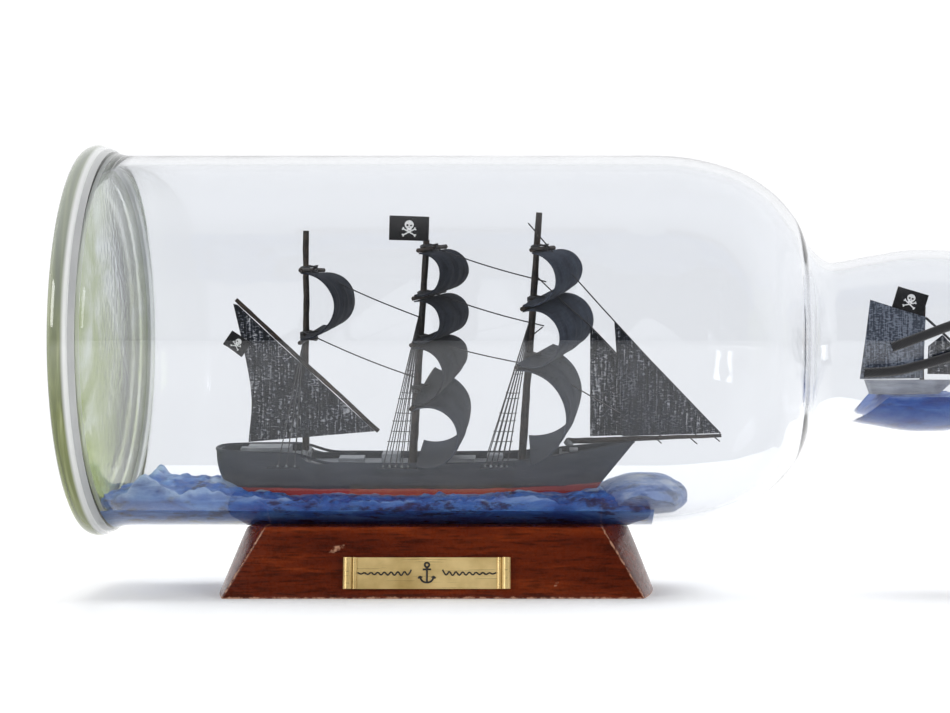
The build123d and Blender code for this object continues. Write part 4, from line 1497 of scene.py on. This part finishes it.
def upright_sail(name, after_edge, fore_edge, y, seed, on_ship=True, slack=0.5):
    """A sail in the plane y, between two edges of (x, height) pairs from the foot up."""

    def place(across_share, down_share):
        after = through(after_edge, 1 - down_share)
        fore = through(fore_edge, 1 - down_share)
        x = after[0] + (fore[0] - after[0]) * across_share
        height = after[1] + (fore[1] - after[1]) * across_share
        edge = 16 * across_share * (1 - across_share) * down_share * (1 - down_share)
        out = y + edge * slack * (1 + noise.noise(Vector((x * 0.12, height * 0.08, seed))))
        out += 0.2 * noise.noise(Vector((x * 0.35, height * 0.1, seed + 3)))
        if on_ship:
            return aboard(x, out, height)
        return Vector((x, out, height)) * MM

    return sheet_of_cloth(name, place, 44, 44, 0.3)


spanker_cloth = upright_sail(
    "spanker_cloth",
    [(-52.6, 14.6), (-51.6, 27.0), (-53.4, 40.0), (-56.2, 53.2)],
    [(-17.4, 17.6), (-29.9, 29.4), (-42.5, 41.1), (-55.0, 52.9)],
    -1.8,
    3.0,
)
finish_piece(spanker_cloth, open_sailcloth, "open_sailcloth", "bottle", "spanker")
outer_jib_cloth = upright_sail(
    "outer_jib_cloth", [(51.6, 16.0), (49.3, 48.0)], [(79.2, 16.9), (49.3, 48.0)], -0.6, 8.0
)
finish_piece(outer_jib_cloth, open_sailcloth, "open_sailcloth", "bottle", "outer_jib")
inner_jib_cloth = upright_sail(
    "inner_jib_cloth", [(42.6, 15.8), (42.6, 46.6)], [(71.0, 16.6), (42.6, 46.6)], 0.6, 12.0
)
finish_piece(inner_jib_cloth, open_sailcloth, "open_sailcloth", "bottle", "inner_jib")

# --- rigging ------------------------------------------------------------------------------
# Waxed black thread: stays from mast to mast and to the bowsprit, and shrouds with ratlines
# on each side. They are drawn tight and glued, so they carry their own shape.
thread_radius = 0.2


def drawn_thread(points, radius, sag=0.0):
    """A thread through points aboard, with a little slack between each pair."""
    line = []
    for (x0, y0, h0), (x1, y1, h1) in zip(points, points[1:]):
        for share in (0, 0.25, 0.5, 0.75):
            drop = sag * 4 * share * (1 - share)
            line.append(
                aboard(x0 + (x1 - x0) * share, y0 + (y1 - y0) * share, h0 + (h1 - h0) * share - drop)
            )
    line.append(aboard(*points[-1]))
    thread = smooth_curve("thread", line, radius * MM, resolution=3)
    thread.data.bevel_resolution = 1
    return to_mesh(thread)


# stay: its points along the ship and up, and its slack
stays = {
    "mizzen": [([(-36.6, 63.6), (-4.9, 49.4)], 0.7), ([(-35.6, 44.6), (-5.9, 32.4)], 0.6)],
    "main": [
        ([(-2.6, 69.4), (30.4, 59.2)], 0.7),
        ([(-3.6, 57.2), (29.8, 46.9)], 0.8),
        ([(-5.1, 43.6), (23.9, 36.4)], 0.5),
        ([(25.6, 43.6), (29.4, 46.6)], 0.0),
    ],
    "fore": [
        ([(25.4, 75.4), (49.6, 47.9), (79.0, 16.6)], 0.3),
        ([(27.0, 61.4), (42.8, 46.8), (72.4, 16.2)], 0.3),
        ([(25.0, 38.2), (62.8, 15.8)], 0.5),
        ([(60.5, 15.6), (62.6, 13.9)], 0.0),
        ([(70.2, 15.8), (72.6, 13.7)], 0.0),
        ([(77.0, 16.0), (78.9, 14.4)], 0.0),
    ],
}
for mast, lines in stays.items():
    threads = [drawn_thread([(x, 0, h) for x, h in line], thread_radius, sag) for line, sag in lines]
    stay_threads = join_pieces(threads, f"{mast}_stay_threads")
    finish_piece(stay_threads, thread_material, "rigging_thread", "bottle", f"{mast}_stays")

# shrouds: head height, first x at the rail, step along the rail, how many, and the ratlines
shrouds = {
    "mizzen": (42.0, -43.4, 2.3, 3, ()),
    "main": (49.8, -14.4, 1.7, 5, (34.0, 27.4, 21.4, 15.9)),
    "fore": (47.4, 13.6, 1.5, 5, (34.0, 27.4, 21.4, 15.9)),
}
shroud_foot, shroud_out = 9.2, 10.3
for mast, (head_height, first_x, step, count, ratlines) in shrouds.items():
    threads = []
    for side in (-1, 1):
        ends = []
        for index in range(count):
            foot = Vector((first_x + index * step, side * shroud_out, shroud_foot))
            head = Vector((mast_x(mast, head_height) - 0.8, side * 0.9, head_height - 0.8 * index))
            ends.append((foot, head))
            threads.append(drawn_thread([tuple(foot), tuple(head)], 0.15))
        for height in ratlines:
            line = []
            for foot, head in (ends[0], ends[-1]):
                share = (height - foot.z) / (head.z - foot.z)
                line.append(tuple(foot.lerp(head, share)))
            before, after = Vector(line[0]), Vector(line[1])
            reach = (after - before) * 0.09
            threads.append(drawn_thread([tuple(before - reach), tuple(after + reach)], 0.12, 0.12))
    shroud_threads = join_pieces(threads, f"{mast}_shroud_threads")
    finish_piece(shroud_threads, thread_material, "rigging_thread", "bottle", f"{mast}_shrouds")

dress("neck_stay", thread_material)

# --- flags --------------------------------------------------------------------------------
# Small black cotton flags with a plain skull and crossed bones printed in white on both
# sides. Each is glued by its edge to the mast, the yard or, in the neck, the little mast.
flag_cloth = cloth_material("flag_cloth", (0.004, 0.004, 0.005, 1), (0.016, 0.016, 0.018, 1), 50.0)
print_material, print_tree, print_shader = new_material(
    "white_print", Base_Color=(0.95, 0.95, 0.94, 1), Roughness=0.8, Specular_IOR_Level=0.2
)
print_place = node(print_tree, "TexCoord").outputs["Object"]
print_noise = mottling(print_tree, print_place, 2500.0, 3.0)
print_colour = shaded(
    print_tree, print_noise, (0.3, (0.70, 0.70, 0.69, 1)), (1.0, (0.97, 0.97, 0.95, 1))
)
link_input(print_tree, print_shader.inputs["Base Color"], print_colour)

# flag: width, drop, and the place of its centre, its tilt in degrees, and whether it is aboard
flags = {
    "main_flag": (10.9, 6.7, (-7.4, -1.4, 74.0), -2.0, True),
    "mizzen_flag": (6.3, 4.6, (-55.2, -2.6, 42.2), -35.0, True),
    "neck_flag": (8.8, 6.0, (132.3, -1.5, 80.6), -17.0, False),
}


def print_shape(name, outline, lift, to_place):
    """A flat printed shape: an outline in millimetres, placed on the flag, a little proud."""
    shape = added(name, "circle", vertices=len(outline), radius=1, fill_type="NGON")
    for vertex, (across_flag, up_flag) in zip(shape.data.vertices, outline):
        vertex.co = to_place(across_flag, up_flag, lift)
    return shape


def ellipse(centre_x, centre_y, radius_x, radius_y, count=20):
    return [
        (
            centre_x + radius_x * math.cos(2 * math.pi * step / count),
            centre_y + radius_y * math.sin(2 * math.pi * step / count),
        )
        for step in range(count)
    ]


def bone(angle, length, thickness):
    """The outline of one bone, with a knuckle at each end."""
    points = []
    for end in (1, -1):
        points += [
            (end * (length - thickness), -end * thickness * 0.55),
            (end * length, -end * thickness * 1.5),
            (end * (length + thickness * 0.9), -end * thickness * 0.9),
            (end * (length + thickness * 0.3), 0),
            (end * (length + thickness * 0.9), end * thickness * 0.9),
            (end * length, end * thickness * 1.5),
            (end * (length - thickness), end * thickness * 0.55),
        ]
    cos_a, sin_a = math.cos(angle), math.sin(angle)
    return [(x * cos_a - y * sin_a, x * sin_a + y * cos_a) for x, y in points]


for seed, (flag_name, (width, drop, centre, tilt, on_ship)) in enumerate(flags.items()):
    cos_t, sin_t = math.cos(math.radians(tilt)), math.sin(math.radians(tilt))

    def flag_place(across_flag, up_flag, lift=0.0):
        """A point on the flag, from its centre, lifted off its face."""
        x = centre[0] + across_flag * cos_t - up_flag * sin_t
        height = centre[2] + across_flag * sin_t + up_flag * cos_t
        flutter = 0.35 * math.sin(across_flag / width * 5.0 + 1.0 + seed)
        out = centre[1] + flutter + lift
        return aboard(x, out, height) if on_ship else Vector((x, out, height)) * MM

    flag = sheet_of_cloth(
        f"{flag_name}_cloth",
        lambda across_share, down_share: flag_place(
            (across_share - 0.5) * width, (0.5 - down_share) * drop
        ),
        24,
        14,
        0.3,
    )
    finish_piece(flag, flag_cloth, "flag_cloth", "bottle", flag_name)
    shapes = []
    size = drop / 6.7
    for face in (-1, 1):
        lift = face * 0.19
        for angle in (0.5, -0.5):
            outline = [(x, y - 1.0 * size) for x, y in bone(angle, 1.9 * size, 0.3 * size)]
            shapes.append(print_shape("bone", outline, lift, flag_place))
        shapes.append(
            print_shape(
                "skull", ellipse(0, 1.0 * size, 1.25 * size, 1.2 * size), lift * 1.06, flag_place
            ),
        )
        jaw = [(-0.7, -0.1), (0.7, -0.1), (0.62, -0.75), (-0.62, -0.75)]
        jaw = [(x * size, (y + 0.15) * size) for x, y in jaw]
        shapes.append(print_shape("jaw", jaw, lift * 1.04, flag_place))
    printed = join_pieces(shapes, f"{flag_name}_print")
    finish_piece(printed, print_material, "flag_cloth", "bottle")
    holes = []
    for face in (-1, 1):
        for hole_x, hole_y, hole_r in ((-0.48, 0.85, 0.34), (0.48, 0.85, 0.34), (0.0, 0.3, 0.16)):
            outline = ellipse(hole_x * size, hole_y * size, hole_r * size, hole_r * size * 0.9, 12)
            holes.append(print_shape("hole", outline, face * 0.225, flag_place))
    sockets = join_pieces(holes, f"{flag_name}_sockets")
    finish_piece(sockets, flag_cloth, "flag_cloth", "bottle")

# --- little ship in the neck --------------------------------------------------------------
# The bulb of the neck holds a second, tiny ship: a painted hull on a lens of brighter clay,
# one mast, a grey-blue mainsail, a black jib and a flag.
neck_clay_top = 54.6
neck_clay = clay_material(
    "neck_clay",
    (0.006, 0.030, 0.20, 1),
    (0.012, 0.075, 0.36, 1),
    (0.06, 0.17, 0.46, 1),
    (0.42, 0.52, 0.66, 1),
    (0.02, 0.05, 0.20, 1),
)
pool = added("neck_clay_pool", "grid", x_subdivisions=96, y_subdivisions=72, size=2)
pool_crests = []
for vertex in pool.data.vertices:
    share_x = (vertex.co.x + 1) / 2
    turn = (vertex.co.y + 1) / 2
    x = 117.0 + 36.0 * share_x
    bulb_outside = next(
        r0 + (r1 - r0) * (x - x0) / (x1 - x0)
        for (x0, r0), (x1, r1) in zip(bulb, bulb[1:])
        if x0 <= x <= x1
    )
    wall_radius = bulb_outside - wall_thickness + 0.2
    edge_fall = ridge(x, 135.0, 18.4)
    top = 49.0 + (neck_clay_top - 49.0) * min(1.0, edge_fall * 2.4) ** 0.8
    half_chord = math.sqrt(max(0.01, wall_radius**2 - (axis_z - top) ** 2))
    if turn <= 0.5:
        y = half_chord * (1 - 4 * turn)
        chop = 0.5 * noise.noise(Vector((x * 0.3, y * 0.3, 3.0))) + 0.25 * noise.noise(
            Vector((x, y, 8.0))
        )
        fall = 1 - (abs(y) / max(half_chord, 0.01)) ** 4
        z = max(top + chop * fall - 0.2, axis_z - math.sqrt(max(0.0, wall_radius**2 - y * y)) + 0.01)
    else:
        share = (turn - 0.5) * 2
        y = half_chord * (2 * share - 1)
        z = axis_z - math.sqrt(max(0.0, wall_radius**2 - y * y))
        fall = 0.0
    depth_share = max(0.0, min(1.0, (z - 49.5) / 5.0))
    pool_crests.append(0.6 * depth_share**2)
    vertex.co = (x * MM, y * MM, z * MM)
set_crests(pool, pool_crests)
close_clay(pool, 0.00004)
smooth_by(pool, 50)
finish_piece(pool, neck_clay, "sea_clay", "bottle", "neck_sea")

grey_paint = painted_wood("grey_paint", (0.24, 0.25, 0.27, 1), (0.48, 0.49, 0.52, 1))
dress("neck_hull", grey_paint)

little_mast = whittled(
    "little_mast", Vector((135.8, 0, 58.6)) * MM, Vector((136.4, 0, 79.0)) * MM, 0.6, 0.45, 77.0
)
finish_piece(little_mast, spar_material, "spar_black", "bottle", "neck_mast")

neck_gauze = gauze_material("neck_sailcloth", (0.045, 0.052, 0.07, 1), (0.22, 0.25, 0.31, 1), 0.25)
little_mainsail = upright_sail(
    "little_mainsail",
    [(118.3, 58.8), (119.9, 70.0), (121.2, 81.0)],
    [(135.9, 59.0), (136.3, 67.6), (136.7, 76.2)],
    -0.9,
    21.0,
    on_ship=False,
)
finish_piece(little_mainsail, neck_gauze, "neck_sailcloth", "bottle", "neck_mainsail")
little_jib = upright_sail(
    "little_jib",
    [(137.4, 60.2), (137.5, 64.0), (137.6, 68.0)],
    [(152.6, 60.0), (147.0, 65.6), (141.5, 71.2)],
    0.0,
    27.0,
    on_ship=False,
    slack=0.3,
)
finish_piece(little_jib, open_sailcloth, "sailcloth", "bottle", "neck_jib")
